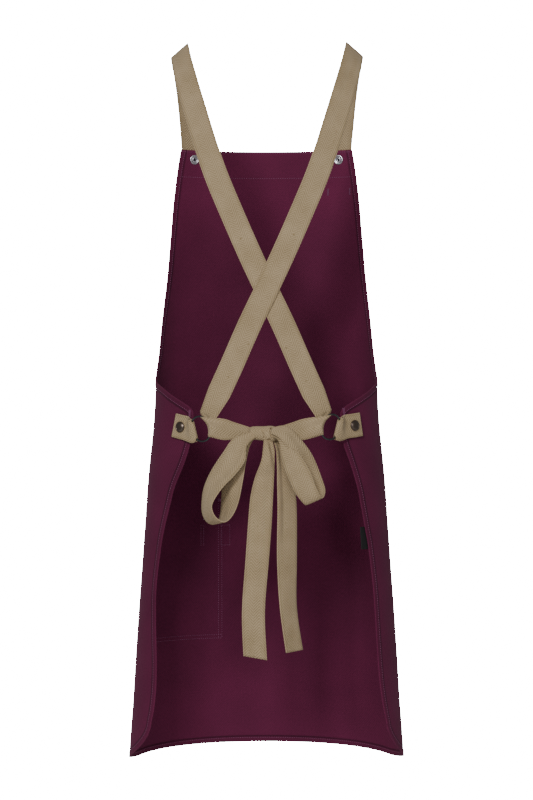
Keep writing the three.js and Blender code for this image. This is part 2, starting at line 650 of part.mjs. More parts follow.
function ringGeometry(name) {
  const ring = ringFrame(name);
  const geometry = new THREE.TorusGeometry(ringRadius, wireRadius, wireSides, ringSides);
  const basis = new THREE.Matrix4().makeBasis(ring.h, ring.k, ring.h.clone().cross(ring.k));
  const middle = ring.at(0, 0, 0);
  geometry.applyMatrix4(basis);
  geometry.translate(middle.x, middle.y, middle.z);
  return fromSolid(toSolid(geometry));
}

// A patch of cloth or tape that follows the panel, given its two ends, height and lift.
function patchGeometry({ from, to, top, tall, wall, columns, rows, lift }) {
  const grid = [];
  for (let i = 0; i <= rows; i += 1) {
    const drop = top + (tall * i) / rows;
    const line = [];
    for (let j = 0; j <= columns; j += 1) {
      line.push(onCloth(THREE.MathUtils.lerp(from, to, j / columns), drop, lift(j / columns)));
    }
    grid.push(line);
  }
  return wallGeometry(grid, wall);
}

addPiece('apron_panel', wallGeometry(panelGrid(), clothWall), twill());

addPiece('shoulder_strap_left', strapGeometry('left', -crossingLift), webbing());
addPiece('shoulder_strap_right', strapGeometry('right', crossingLift), webbing());

addPiece('bow_knot', knot, webbing());
addPiece('bow_loop_left', bowGeometry(leftLoop), webbing());
addPiece('bow_loop_right', bowGeometry(rightLoop), webbing());
addPiece('tie_tail_left', bowGeometry(leftTail), webbing());
addPiece('tie_tail_right', bowGeometry(rightTail), webbing());

for (const name of ['left', 'right']) {
  const side = sideOf[name];
  addPiece(`ring_${name}`, ringGeometry(name), gunmetal());
  addPiece(`ring_tab_${name}`, tabGeometry(name), webbing());
  const tapeTop = tapeOnCloth + tapeWall + gap + tapeWall / 2 + discSeat;
  const capDrop = dropOfRing(name) + tabSag - capSetback[name] * Math.tan(degrees(tabTilt[name]));
  const capTurn = side * (wireTurn[name] - wrapFor(capSetback[name], wireTurn[name], capDrop));
  const out = clothOut(capTurn, capDrop);
  addPiece(`tab_cap_${name}`, capGeometry(onCloth(capTurn, capDrop, tapeTop), out), bronze());
  const inside = onCloth(capTurn, capDrop, -clothWall / 2 - discSeat);
  addPiece(`tab_snap_back_${name}`, snapBackGeometry(inside, out.clone().negate()), nickel());

  const bibTurn = side * turnAt(strapInset, bibSnapDrop);
  const bibOut = clothOut(bibTurn, bibSnapDrop);
  const onStrap = onCloth(bibTurn, bibSnapDrop, tapeOnCloth + tapeWall / 2 + discSeat + gap);
  addPiece(`bib_cap_${name}`, capGeometry(onStrap, bibOut), bronze());
  const inBib = onCloth(bibTurn, bibSnapDrop, -clothWall / 2 - discSeat);
  addPiece(`bib_snap_back_${name}`, snapBackGeometry(inBib, bibOut.clone().negate()), nickel());
}

const patchLift = (clothWall + patchWall) / 2 + gap;
const pocketTurn = -turnAt(pocketInset, pocketDrop);
addPiece('hip_pocket', patchGeometry({
  from: pocketTurn,
  to: pocketTurn - wrapFor(pocketWide, pocketTurn, pocketDrop),
  top: pocketDrop,
  tall: pocketTall,
  wall: patchWall,
  columns: 12,
  rows: 8,
  lift: () => patchLift,
}), twill());

const utilityTurn = -turnAt(utilityInset, utilityDrop);
const overPocket = patchLift + patchWall / 2 + gap + tapeWall / 2;
addPiece('utility_loop', patchGeometry({
  from: utilityTurn,
  to: utilityTurn - wrapFor(utilitySpan, utilityTurn, utilityDrop),
  top: utilityDrop - tapeWidth / 2,
  tall: tapeWidth,
  wall: tapeWall,
  columns: 8,
  rows: 2,
  lift: (share) => THREE.MathUtils.lerp(tapeOnCloth, overPocket, Math.min(share * 3, 1))
    + loopSlack * Math.sin(Math.PI * share) ** 2,
}), webbing());

const bibLoopTurn = turnAt(bibLoopInset, bibLoopDrop);
addPiece('bib_loop', patchGeometry({
  from: bibLoopTurn,
  to: bibLoopTurn + wrapFor(bibLoopSpan, bibLoopTurn, bibLoopDrop),
  top: bibLoopDrop - bibLoopTall / 2,
  tall: bibLoopTall,
  wall: patchWall,
  columns: 8,
  rows: 1,
  lift: (share) => patchLift + loopSlack * Math.sin(Math.PI * share) ** 2,
}), twill());

const edgeRow = labelDrop / panelLength;
const edgeTurn = atHeight(outline.map((row) => ({ down: row.edge, turn: row.right })), 'turn', edgeRow);
const labelLift = -(clothWall + labelWall) / 2 - gap * 2;
addPiece('side_label', patchGeometry({
  from: edgeTurn - wrapFor(labelTuck, edgeTurn, labelDrop),
  to: edgeTurn + wrapFor(labelShows, edgeTurn, labelDrop),
  top: labelDrop - labelTall / 2,
  tall: labelTall,
  wall: labelWall,
  columns: 3,
  rows: 2,
  lift: () => labelLift,
}), blackTape());

export default apron;
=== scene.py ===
# %% [markdown]
# # A bib apron, seen from the wearer's back
# The apron hangs as it does when it is worn: one cut of burgundy cotton twill wraps the front and
# the hips, and two tan webbing straps come over the shoulders, cross on the back, turn round a
# metal ring on each hip and are tied in a bow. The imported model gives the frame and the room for
# each piece, and this notebook makes the cloth, webbing and metal that are seen.
# Everything below is worked out in millimetres and put into the meshes in metres.

# %% Load the frame
import math

import bpy
import numpy as np
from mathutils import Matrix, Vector


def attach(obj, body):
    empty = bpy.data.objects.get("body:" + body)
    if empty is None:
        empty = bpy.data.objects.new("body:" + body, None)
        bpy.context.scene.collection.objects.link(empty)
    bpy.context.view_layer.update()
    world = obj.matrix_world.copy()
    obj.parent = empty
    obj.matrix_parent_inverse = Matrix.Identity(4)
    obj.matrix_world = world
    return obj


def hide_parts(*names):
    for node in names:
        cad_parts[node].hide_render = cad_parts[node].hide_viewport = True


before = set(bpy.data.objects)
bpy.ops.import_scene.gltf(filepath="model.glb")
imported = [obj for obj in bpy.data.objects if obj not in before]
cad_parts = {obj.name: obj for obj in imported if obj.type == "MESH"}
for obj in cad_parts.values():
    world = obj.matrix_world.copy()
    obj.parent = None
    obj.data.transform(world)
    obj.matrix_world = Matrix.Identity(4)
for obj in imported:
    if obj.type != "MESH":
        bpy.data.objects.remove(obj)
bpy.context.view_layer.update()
scene = bpy.context.scene
print("nodes in the frame:", len(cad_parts))

# %% [markdown]
# ## Camera and light
# The photograph was taken level, from straight behind and about 3 m away, with a long lens. The
# image is 800 pixels tall and 36 mm of sensor lie along its long side, so a 96 mm lens gives the
# same angle. Soft light from large lamps keeps the shade inside the apron even.

# %% Camera
camera_data = bpy.data.cameras.new("camera")
camera_data.lens = 96
camera_data.sensor_width = 36
camera = bpy.data.objects.new("camera", camera_data)
camera.location = (0, -3.0, -0.490)
camera.rotation_euler = (math.pi / 2, 0, 0)
scene.collection.objects.link(camera)
scene.camera = camera
print("camera at", tuple(camera.location))


# %% Materials start from sRGB hex values
def linear(code):
    """Linear colour of an sRGB hex value: each part to the power 2.4 above a small straight start."""
    parts = [int(code[i:i + 2], 16) / 255 for i in (1, 3, 5)]
    return [c / 12.92 if c <= 0.04045 else ((c + 0.055) / 1.055) ** 2.4 for c in parts] + [1]


def add(tree, kind, inputs=None, **settings):
    """Adds a node with its settings. Inputs are numbers, colours or other nodes' outputs."""
    made = tree.nodes.new(kind)
    for name, value in settings.items():
        setattr(made, name, value)
    for name, value in (inputs or {}).items():
        if isinstance(value, bpy.types.NodeSocket):
            tree.links.new(value, made.inputs[name])
        else:
            made.inputs[name].default_value = value
    return made


def new_material(name):
    made = bpy.data.materials.new(name)
    made.use_nodes = True
    made.node_tree.nodes.clear()
    return made, made.node_tree


def finish_material(tree, shader):
    add(tree, "ShaderNodeOutputMaterial", {"Surface": shader.outputs[0]})


# %% Light and floor
def lamp(name, place, aim, size, power):
    data = bpy.data.lights.new(name, "AREA")
    data.shape = "RECTANGLE"
    data.size, data.size_y = size
    data.energy = power
    made = bpy.data.objects.new(name, data)
    made.location = place
    made.rotation_euler = (Vector(aim) - Vector(place)).to_track_quat("-Z", "Y").to_euler()
    scene.collection.objects.link(made)
    return made


world = bpy.data.worlds.new("studio")
scene.world = world
world.use_nodes = True
sky = world.node_tree
sky.nodes.clear()
white = (1, 1, 1, 1)
room = add(sky, "ShaderNodeBackground", {"Color": white, "Strength": 0.24})
paper = add(sky, "ShaderNodeBackground", {"Color": white, "Strength": 30.0})
ray = add(sky, "ShaderNodeLightPath")
by_camera = ray.outputs["Is Camera Ray"]
seen = add(sky, "ShaderNodeMixShader", {0: by_camera, 1: room.outputs[0], 2: paper.outputs[0]})
add(sky, "ShaderNodeOutputWorld", {"Surface": seen.outputs[0]})
lamp("key", (-1.0, -3.3, 1.1), (0, 0, -0.45), (1.0, 1.0), 80)
lamp("fill", (0.7, -3.3, 0.2), (0, 0, -0.5), (1.2, 1.6), 22)

floor_material, tree = new_material("pale_floor")
pale = add(tree, "ShaderNodeBsdfPrincipled", {"Base Color": linear("#f7f7f7"), "Roughness": 0.9})
finish_material(tree, pale)
bpy.ops.mesh.primitive_circle_add(radius=1.85, vertices=96, fill_type="NGON", location=(0, 0, -1.45))
floor = bpy.context.object
floor.name = "floor"
floor.data.materials.append(floor_material)

# %% [markdown]
# ## Cloth and webbing as surfaces
# Both are thin sheets. A sheet is a grid of points worked out from two parameters, one along it and
# one across it, and gets its thickness on both sides of the grid. Its UV map holds the real
# distances along and across in metres, so that weaves keep their scale wherever the sheet turns.


# %% A smooth curve through rows of numbers
def through(values, place):
    """Catmull-Rom: at place k + f, the cubic that meets rows k and k + 1 with slopes taken from
    the rows on either side of each."""
    values = np.asarray(values, float)
    place = np.asarray(place, float)
    last = len(values) - 1
    i = np.clip(np.floor(place).astype(int), 0, last - 1)
    f = (place - i).reshape(place.shape + (1,) * (values.ndim - 1))
    p, q, r, s = (values[np.clip(i + k, 0, last)] for k in (-1, 0, 1, 2))
    m, n = (r - p) / 2, (s - q) / 2
    return (2 * q - 2 * r + m + n) * f**3 + (-3 * q + 3 * r - 2 * m - n) * f**2 + m * f + q


def unit(v):
    return v / np.maximum(np.linalg.norm(v, axis=-1, keepdims=True), 1e-9)


def smooth(low, high, value):
    """0 below low, 1 above high and a smooth S between them."""
    t = np.clip((value - low) / (high - low), 0, 1)
    return t * t * (3 - 2 * t)


def grid_normals(grid):
    """The normal at each point of a grid: the cross of its steps along and across."""
    return unit(np.cross(np.gradient(grid, axis=0), np.gradient(grid, axis=1)))


def grid_lengths(grid):
    """Distances along the middle column and across the middle row, from the middle of the row."""
    rows, columns = grid.shape[:2]
    along = np.linalg.norm(np.diff(grid[:, columns // 2], axis=0), axis=1)
    across = np.linalg.norm(np.diff(grid, axis=1), axis=2)
    v = np.concatenate([[0], np.cumsum(along)])[:, None] * np.ones((1, columns))
    u = np.concatenate([np.zeros((rows, 1)), np.cumsum(across, axis=1)], axis=1)
    return u - u[:, columns // 2:columns // 2 + 1], v


# %% Putting a surface into a mesh
EDGE_SHARE = 0.45       # how thick a sheet's outermost points are, as a share of its thickness


def make_object(name, points, faces, uv, material, wear_and_shade=None):
    """points in millimetres, faces as corner numbers, uv in millimetres for each point. The last
    argument is above 0 where the cloth is rubbed pale and where light is painted on, and below 0
    where shade is painted in along seams and fold edges."""
    mesh = bpy.data.meshes.new(name)
    mesh.from_pydata((points * 0.001).tolist(), [], faces.tolist())
    corners = np.empty(len(mesh.loops), dtype=np.int32)
    mesh.loops.foreach_get("vertex_index", corners)
    layer = mesh.uv_layers.new(name="flat")
    layer.data.foreach_set("uv", (uv[corners] * 0.001).astype(np.float32).ravel())
    mesh.polygons.foreach_set("use_smooth", np.ones(len(mesh.polygons), dtype=bool))
    mesh.materials.append(material)
    if wear_and_shade is not None:
        # Per point: rubbed pale edges, plus painted shade and painted light that the colours add in.
        rubbed_and_shaded = mesh.attributes.new("wear_and_shade", "FLOAT", "POINT")
        rubbed_and_shaded.data.foreach_set("value", wear_and_shade.astype(np.float32).ravel())
    mesh.validate()
    mesh.update()
    made = bpy.data.objects.new(name, mesh)
    scene.collection.objects.link(made)
    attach(made, "root")
    return made


def sheet_points(grid, thick):
    """Both faces of a sheet: the grid moved half its thickness along its normals each way, and
    drawn in to a rounded edge all round."""
    rows, columns = grid.shape[:2]
    half = np.broadcast_to(np.asarray(thick, float), (rows, columns)) / 2
    shape = np.ones((rows, columns))
    shape[[0, -1], :] = EDGE_SHARE
    shape[:, [0, -1]] = EDGE_SHARE
    offset = grid_normals(grid) * (half * shape)[..., None]
    return np.concatenate([(grid + offset).reshape(-1, 3), (grid - offset).reshape(-1, 3)])


def sheet_faces(rows, columns):
    """Quads of both faces, the second turned over, and the strip that closes the edge."""
    i, j = np.meshgrid(np.arange(rows - 1), np.arange(columns - 1), indexing="ij")
    a = (i * columns + j).ravel()
    b, c, d = a + columns, a + columns + 1, a + 1
    top = np.stack([a, b, c, d], axis=1)
    bottom = np.stack([a, d, c, b], axis=1) + rows * columns
    rim = np.concatenate([
        np.arange(columns - 1),
        np.arange(rows - 1) * columns + columns - 1,
        np.arange(columns - 1, 0, -1) + (rows - 1) * columns,
        np.arange(rows - 1, 0, -1) * columns,
    ])
    after = np.roll(rim, -1)
    edge = np.stack([rim, after, after + rows * columns, rim + rows * columns], axis=1)
    return np.concatenate([top, bottom, edge])


def make_sheet(name, grid, thick, material, wear_and_shade=None):
    u, v = grid_lengths(grid)
    uv = np.stack([u.ravel(), v.ravel()], axis=1)
    points = sheet_points(grid, thick)
    faces = sheet_faces(*grid.shape[:2])
    wear_and_shade = None if wear_and_shade is None else np.concatenate([wear_and_shade.ravel(), wear_and_shade.ravel()])
    made = make_object(name, points, faces, np.concatenate([uv, uv]), material, wear_and_shade)
    long, wide = round(v[-1, 0]), round(u[0, -1] - u[0, 0])
    print(name, "faces:", len(faces), "along:", long, "mm, across:", wide, "mm")
    return made


def declare(made, node, grid):
    """Hides the CAD solid that the sheet stands for and prints how large it was cut: its longest row
    and column, and the area of its grid, which is half the cross product of each cell's diagonals."""
    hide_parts(node)
    u = grid_lengths(grid)[0]
    wide = (u[:, -1] - u[:, 0]).max() / 1000
    long = np.linalg.norm(np.diff(grid, axis=0), axis=2).sum(axis=0).max() / 1000
    diagonals = grid[1:, 1:] - grid[:-1, :-1], grid[1:, :-1] - grid[:-1, 1:]
    area = np.linalg.norm(np.cross(*diagonals), axis=2).sum() / 2e6
    area = float(np.clip(area, 0.31 * wide * long, wide * long))
    size = f"{wide * 1000:.0f} x {long * 1000:.0f} mm"
    print(made.name, "flat", size, "area", round(area, 4), "square metres")


# %% [markdown]
# ## Twill and webbing materials
# The apron is cotton twill, dyed burgundy: fine diagonal ribs with a soft bloom of loose fibre that
# catches light at grazing angles. The straps are cotton herringbone webbing, whose ribs lean one way
# and then the other across the tape. The ribs follow the UV map, which holds real distances.


# %% Helpers for weaves
def cloth_place(tree):
    """The UV map in millimetres, as separate across and along numbers."""
    place = add(tree, "ShaderNodeUVMap", uv_map="flat")
    inputs = {0: place.outputs[0], 1: (1000, 1000, 1000)}
    scaled = add(tree, "ShaderNodeVectorMath", inputs, operation="MULTIPLY")
    parts = add(tree, "ShaderNodeSeparateXYZ", {0: scaled.outputs[0]})
    return scaled.outputs[0], parts.outputs[0], parts.outputs[1]


def maths(tree, operation, a, b=0.0):
    return add(tree, "ShaderNodeMath", {0: a, 1: b}, operation=operation).outputs[0]


def weighted(tree, *parts):
    """The sum of the outputs, each times its weight."""
    total = None
    for output, weight in parts:
        part = maths(tree, "MULTIPLY", output, weight)
        total = part if total is None else maths(tree, "ADD", total, part)
    return total


def noise(tree, place, scale, detail, **values):
    settings = {"Vector": place, "Scale": scale, "Detail": detail, **values}
    return add(tree, "ShaderNodeTexNoise", settings).outputs[0]


def tinted(tree, factor, dark, light):
    """A colour between two hex values."""
    mix = add(tree, "ShaderNodeMix", {"Factor": factor}, data_type="RGBA")
    mix.inputs["A"].default_value = linear(dark)
    mix.inputs["B"].default_value = linear(light)
    return mix.outputs["Result"]


# %% Burgundy cotton twill
TWILL_STEP = 3.6        # from rib to rib along the cloth, drawn 45 degrees across it


def twill_material(name, dark, light):
    """Ribs 0.6 mm apart can't show at 1.4 mm a pixel, so they are drawn 2.5 mm apart and faint."""
    made, tree = new_material(name)
    place, across, along = cloth_place(tree)
    slant = maths(tree, "ADD", across, along)
    ribs = maths(tree, "SINE", maths(tree, "MULTIPLY", slant, 2 * math.pi / TWILL_STEP))
    fibre = noise(tree, place, 0.45, 3, Roughness=0.7)
    blend = weighted(tree, (fibre, 0.7), (noise(tree, place, 0.012, 2), 0.5), (ribs, 0.12))
    # Adds rubbed edges, painted shade along fold edges and painted light high and low on the panel to the
    # colour.
    wear_and_shade = add(tree, "ShaderNodeAttribute", attribute_name="wear_and_shade")
    factor = maths(tree, "ADD", maths(tree, "SUBTRACT", blend, 0.1), wear_and_shade.outputs["Fac"])
    height = weighted(tree, (ribs, 0.5), (fibre, 1.0))
    bump = add(tree, "ShaderNodeBump", {"Height": height, "Strength": 0.25, "Distance": 0.0003})
    crease = noise(tree, place, 0.02, 2)
    soft = add(tree, "ShaderNodeBump", {
        "Height": crease, "Strength": 0.35, "Distance": 0.006, "Normal": bump.outputs[0]})
    shader = add(tree, "ShaderNodeBsdfPrincipled", {
        "Base Color": tinted(tree, factor, dark, light), "Roughness": 0.85, "Specular IOR Level": 0.2,
        "Sheen Weight": 0.12, "Sheen Roughness": 0.45, "Sheen Tint": linear("#e0a0c0"),
        "Normal": soft.outputs[0]})
    finish_material(tree, shader)
    return made


twill = twill_material("burgundy_cotton_twill", "#3a0c24", "#681f43")


# %% Herringbone webbing
STRIPE = 8.0            # width of a stripe in which the ribs lean one way
RIB_LEAN = 1.1          # rise of a rib for each millimetre across
RIB_STEP = 4.0          # from rib to rib along the tape


def webbing_material(name, dark, light):
    """Ribs that lean towards the middle of each 8 mm stripe. The real ones are about 1 mm apart
    and wouldn't show at 1.4 mm a pixel, so they are drawn 2.7 mm apart."""
    made, tree = new_material(name)
    place, across, along = cloth_place(tree)
    lean = weighted(tree, (maths(tree, "PINGPONG", across, STRIPE), RIB_LEAN), (along, 1.0))
    ribs = maths(tree, "SINE", maths(tree, "MULTIPLY", lean, 2 * math.pi / RIB_STEP))
    fibre = noise(tree, place, 0.6, 3, Roughness=0.6)
    spots = maths(tree, "GREATER_THAN", noise(tree, place, 0.25, 1), 0.76)
    # Adds rubbed edges and a dark line of painted shade beside them to the colour.
    wear_and_shade = add(tree, "ShaderNodeAttribute", attribute_name="wear_and_shade")
    factor = weighted(tree, (ribs, 0.2), (fibre, 0.55), (noise(tree, place, 0.03, 2), 0.5), (spots, -0.8),
                      (wear_and_shade.outputs["Fac"], 1.0))
    height = weighted(tree, (ribs, 1.0), (fibre, 1.0))
    bump = add(tree, "ShaderNodeBump", {"Height": height, "Strength": 0.7, "Distance": 0.0005})
    shader = add(tree, "ShaderNodeBsdfPrincipled", {
        "Base Color": tinted(tree, factor, dark, light), "Roughness": 0.9, "Specular IOR Level": 0.2,
        "Sheen Weight": 0.1, "Sheen Roughness": 0.5, "Normal": bump.outputs[0]})
    finish_material(tree, shader)
    return made


webbing = webbing_material("tan_herringbone_webbing", "#84714f", "#c4ad8b")


# %% Plain finishes: sewing thread, plated metal and woven label
GRAIN_SHADE = 0.8       # how dark the low spots of the grain are beside the colour itself


def plain_material(name, colour, **values):
    """One colour with a fine grain, which keeps a small piece from looking like plastic."""
    made, tree = new_material(name)
    coords = add(tree, "ShaderNodeTexCoord")
    grain = noise(tree, coords.outputs["Object"], 900, 2)
    darker = "#" + "".join(f"{int(int(colour[i:i + 2], 16) * GRAIN_SHADE):02x}" for i in (1, 3, 5))
    bump = add(tree, "ShaderNodeBump", {"Height": grain, "Strength": 0.15, "Distance": 0.0002})
    shader = add(tree, "ShaderNodeBsdfPrincipled", {
        "Base Color": tinted(tree, grain, darker, colour), "Normal": bump.outputs[0], **values})
    finish_material(tree, shader)
    return made


# A soft shine, paler than the cloth, so that each stitch is seen.
thread = plain_material("plum_polyester_thread", "#8e4c74", Roughness=0.5)
# Dark wire with a narrow line of light along it.
gunmetal = plain_material("gunmetal_plated_steel", "#5c6264", Metallic=1.0, Roughness=0.3)
# A brown dome with a grey highlight on its side.
bronze = plain_material("antique_bronze_plating", "#75675e", Metallic=1.0, Roughness=0.34)
# Bright silver that stands out on the dark cloth.
nickel = plain_material("nickel_plated_brass", "#d8d4dc", Metallic=1.0, Roughness=0.25)
# The dark socket in the middle of each snap's back: painted shade, a dark disc where the hole lies in shade.
shade_steel = plain_material("shaded_snap_socket", "#2c2a30", Metallic=1.0, Roughness=0.5)
# Flat black with no shine.
label_tape = plain_material("black_woven_label", "#060607", Roughness=0.8)
print("materials:", len(bpy.data.materials))

# %% [markdown]
# ## The wrapped panel
# The cloth is a surface of wrap angle and height. Its girth at each height is an ellipse, half its
# width across and some reach forward, and the cloth runs round it from the middle of the front to
# the two rear edges. Its outline is a table of where each line of cloth ends. The same numbers
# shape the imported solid, so the visible cloth lies where the solid does.

# %% Sizes of the panel
LENGTH = 859.5          # of the cloth, from the bib's top edge to the hem
HEM_HALF = 193.0        # half the width across at the hem
FRONT = 125.0           # reach of the front at the hem
RISE = 130.5            # from the bib's top edge up to the shoulders
TAPE = 32.0             # width of the webbing
TAPE_WALL = 1.6
CLOTH_WALL = 1.2
GAP = 0.35              # between pieces that lie on one another
# Girth: share of the length, half width, reach of the front and place of the axis.
GIRTH = np.array([
    (0.000, 0.891, 0.736, 0.154), (0.083, 0.860, 0.800, 0.096), (0.150, 0.839, 0.848, 0.064),
    (0.218, 0.821, 0.880, 0.040), (0.284, 0.808, 0.888, 0.024), (0.352, 0.804, 0.872, 0.008),
    (0.438, 0.813, 0.840, -0.030), (0.547, 0.859, 0.864, -0.016), (0.646, 0.891, 0.912, 0.000),
    (0.777, 0.933, 0.960, 0.008), (0.907, 0.969, 0.992, 0.016), (1.010, 1.000, 1.000, 0.024)])
# Outline: share of the length in the middle and at the edges, degrees of wrap left and right.
OUTLINE = np.array([
    (0.000, -0.001, 45.7, 45.7), (0.083, 0.083, 53.2, 53.2), (0.150, 0.150, 58.1, 58.1),
    (0.218, 0.218, 63.7, 63.7), (0.280, 0.284, 71.5, 71.0), (0.330, 0.346, 79.0, 78.5),
    (0.352, 0.370, 84.5, 84.0), (0.366, 0.384, 90.5, 91.0), (0.379, 0.397, 110.5, 107.5),
    (0.393, 0.410, 122.8, 121.0), (0.408, 0.421, 132.0, 131.0), (0.424, 0.430, 138.0, 137.2),
    (0.440, 0.440, 140.6, 140.0), (0.462, 0.462, 140.3, 140.0), (0.486, 0.486, 139.8, 139.4),
    (0.520, 0.520, 136.5, 135.5), (0.558, 0.558, 130.9, 131.6), (0.587, 0.587, 128.1, 129.7),
    (0.624, 0.624, 124.6, 127.4), (0.656, 0.656, 122.6, 125.6), (0.716, 0.716, 120.7, 123.8),
    (0.768, 0.768, 121.9, 123.6), (0.835, 0.835, 124.5, 123.3), (0.880, 0.880, 125.2, 122.4),
    (0.918, 0.918, 124.2, 120.2)])
CORNER = {"start": 0.934, "left": 123.0, "right": 119.0, "sweep": 52.0, "tall": 60.0, "drop": 4.0}


# %% The cloth's surface
def cloth(turn, drop):
    """Across is half the girth times the sine of the wrap angle, forward is the axis plus the
    rest of the reach times its cosine, and the height falls with the drop below the bib's top."""
    turn, drop = np.broadcast_arrays(np.asarray(turn, float), np.asarray(drop, float))
    down = drop / LENGTH
    i = np.clip(np.searchsorted(GIRTH[:, 0], down, side="right") - 1, 0, len(GIRTH) - 2)
    f = np.clip((down - GIRTH[i, 0]) / (GIRTH[i + 1, 0] - GIRTH[i, 0]), 0, 1)
    half, front, axis = np.moveaxis(through(GIRTH[:, 1:], i + f), -1, 0)
    angle = np.radians(turn)
    forward = FRONT * (axis + (front - axis) * np.cos(angle))
    return np.stack([HEM_HALF * half * np.sin(angle), forward, -RISE - drop], axis=-1)


def cloth_out(turn, drop):
    """The direction away from the body: the cross of a small step across and one downwards."""
    turn, drop = np.asarray(turn, float), np.asarray(drop, float)
    across = cloth(turn + 0.5, drop) - cloth(turn - 0.5, drop)
    down = cloth(turn, drop + 1) - cloth(turn, drop - 1)
    return -unit(np.cross(down, across))


def on_cloth(turn, drop, lift):
    lift = np.asarray(lift, float)
    return cloth(turn, drop) + cloth_out(turn, drop) * lift[..., None]


def wrap_for(length, turn, drop):
    """Degrees of wrap that a length along the cloth takes up at a place."""
    step = np.linalg.norm(cloth(turn + 0.5, drop) - cloth(turn - 0.5, drop), axis=-1)
    return length / step


def turn_at(inset, drop):
    return np.degrees(np.arcsin(inset / cloth(90, drop)[..., 0]))


# %% The panel's lines of cloth
def panel_lines(straight, rounded):
    """Rows of the outline, then rows that swing a quarter turn round the rounded corners."""
    body = through(OUTLINE, np.linspace(0, len(OUTLINE) - 1, straight))
    share = np.linspace(0, 1, rounded)
    swing = share * np.pi / 2
    inward = CORNER["sweep"] * (1 - np.cos(swing))
    corner = np.stack([
        CORNER["start"] + (1 - CORNER["start"]) * share,
        CORNER["start"] + (CORNER["tall"] + CORNER["drop"]) / LENGTH * np.sin(swing),
        CORNER["left"] - inward, CORNER["right"] - inward], axis=1)
    return np.concatenate([body, corner])


def panel_place(lines, u):
    """Wrap angle and drop at share u of each line, from -1 at the left edge to 1 at the right."""
    turn = np.where(u < 0, u * lines[:, 2:3], u * lines[:, 3:4])
    down = lines[:, 0:1] + (lines[:, 1:2] - lines[:, 0:1]) * np.abs(u) ** 2.5
    return turn, down * LENGTH


half_shares = np.concatenate([np.linspace(0, 0.93, 72)[:-1], np.linspace(0.93, 1, 26)])
shares = np.concatenate([-half_shares[:0:-1], half_shares])[None, :]
lines = panel_lines(250, 60)
panel_turn, panel_drop = panel_place(lines, shares)
panel_grid = cloth(panel_turn, panel_drop)
print("panel grid:", panel_grid.shape)

# %% Hems: the cloth is turned over twice along its edges and faced inside the top of the bib
edge_lines = panel_lines(500, 120)
edge_turn, edge_drop = panel_place(edge_lines, np.array([[-1.0, 1.0]]))
hem_u = np.linspace(-1, 1, 240)[None, :]
hem_turn, hem_drop = panel_place(edge_lines[-1:], hem_u)
SIDE_PATH = {
    "turn": np.concatenate([edge_turn[:, 0], hem_turn[0, 1:-1], edge_turn[::-1, 1]]),
    "drop": np.concatenate([edge_drop[:, 0], hem_drop[0, 1:-1], edge_drop[::-1, 1]])}
side_path = cloth(SIDE_PATH["turn"], SIDE_PATH["drop"])
HEM = 7.5               # width of the turned edge
FACING = 40.0           # depth of the doubled cloth inside the bib's top
CLOTH_SEEN = 0.95       # thickness of the single cloth
TURNED_MORE = 0.9       # what the turned cloth adds


def edge_distance(grid, path):
    """Nearest distance from each point of the grid to the path, a block of rows at a time."""
    blocks = [np.linalg.norm(row[:, None, :] - path[None, :, :], axis=2).min(axis=1) for row in grid]
    return np.array(blocks)


to_edge = edge_distance(panel_grid, side_path)
in_hem = 1 - smooth(HEM - 0.9, HEM + 0.9, to_edge)
in_facing = 1 - smooth(FACING - 1.2, FACING + 1.2, panel_drop)
panel_thick = CLOTH_SEEN + TURNED_MORE * np.maximum(in_hem, in_facing)


def line_at(distance, place, wide):
    """1 on a line at that distance, falling off on both sides of it."""
    return np.exp(-((distance - place) / wide) ** 2)


# A rubbed edge, painted shade in a dark line where the turned hem ends, and painted light that makes the
# cloth paler high on the bib and low on the skirt.
panel_rub_and_shade = 0.3 * line_at(to_edge, 0.0, 1.2) - 0.7 * line_at(to_edge, HEM + 0.9, 1.1) - 0.12 * in_hem
panel_rub_and_shade = panel_rub_and_shade + 0.22 * (1 - smooth(60, 190, panel_drop)) + 0.16 * smooth(640, 800, panel_drop)
# Painted shade in a dark line where the facing ends, and the rubbed top edge.
panel_rub_and_shade = panel_rub_and_shade - 0.8 * line_at(panel_drop, FACING + 1.0, 1.2) + 0.3 * line_at(panel_drop, 0.0, 2.0)
panel = make_sheet("apron_cloth", panel_grid, panel_thick, twill, wear_and_shade=panel_rub_and_shade)
declare(panel, "apron_panel", panel_grid)

# %% [markdown]
# ## Straps
# A strap is a ribbon: rows that each give its two edges and how far its middle bows out, joined by
# a smooth curve. It starts on the bib, goes over the shoulder, crosses the back, is folded round
# the wire of the far ring and comes back as the tie band that ends in the knot.


# %% Ribbons
def ribbon(rows, between, columns):
    """Between two edges a and b the point at share t is their mix plus the bow times 1 - u * u,
    where u runs from -1 to 1 across the tape."""
    rows = np.asarray(rows, float)
    place = np.arange((len(rows) - 1) * between + 1) / between
    a, b, bow = np.moveaxis(through(rows, np.minimum(place, len(rows) - 1)), 1, 0)
    u = np.linspace(-1, 1, columns)
    u = np.concatenate([[-1], u[1:-1] * 0.98, [1]])[None, :, None]
    return a[:, None] * (1 - u) / 2 + b[:, None] * (1 + u) / 2 + bow[:, None] * (1 - u**2)


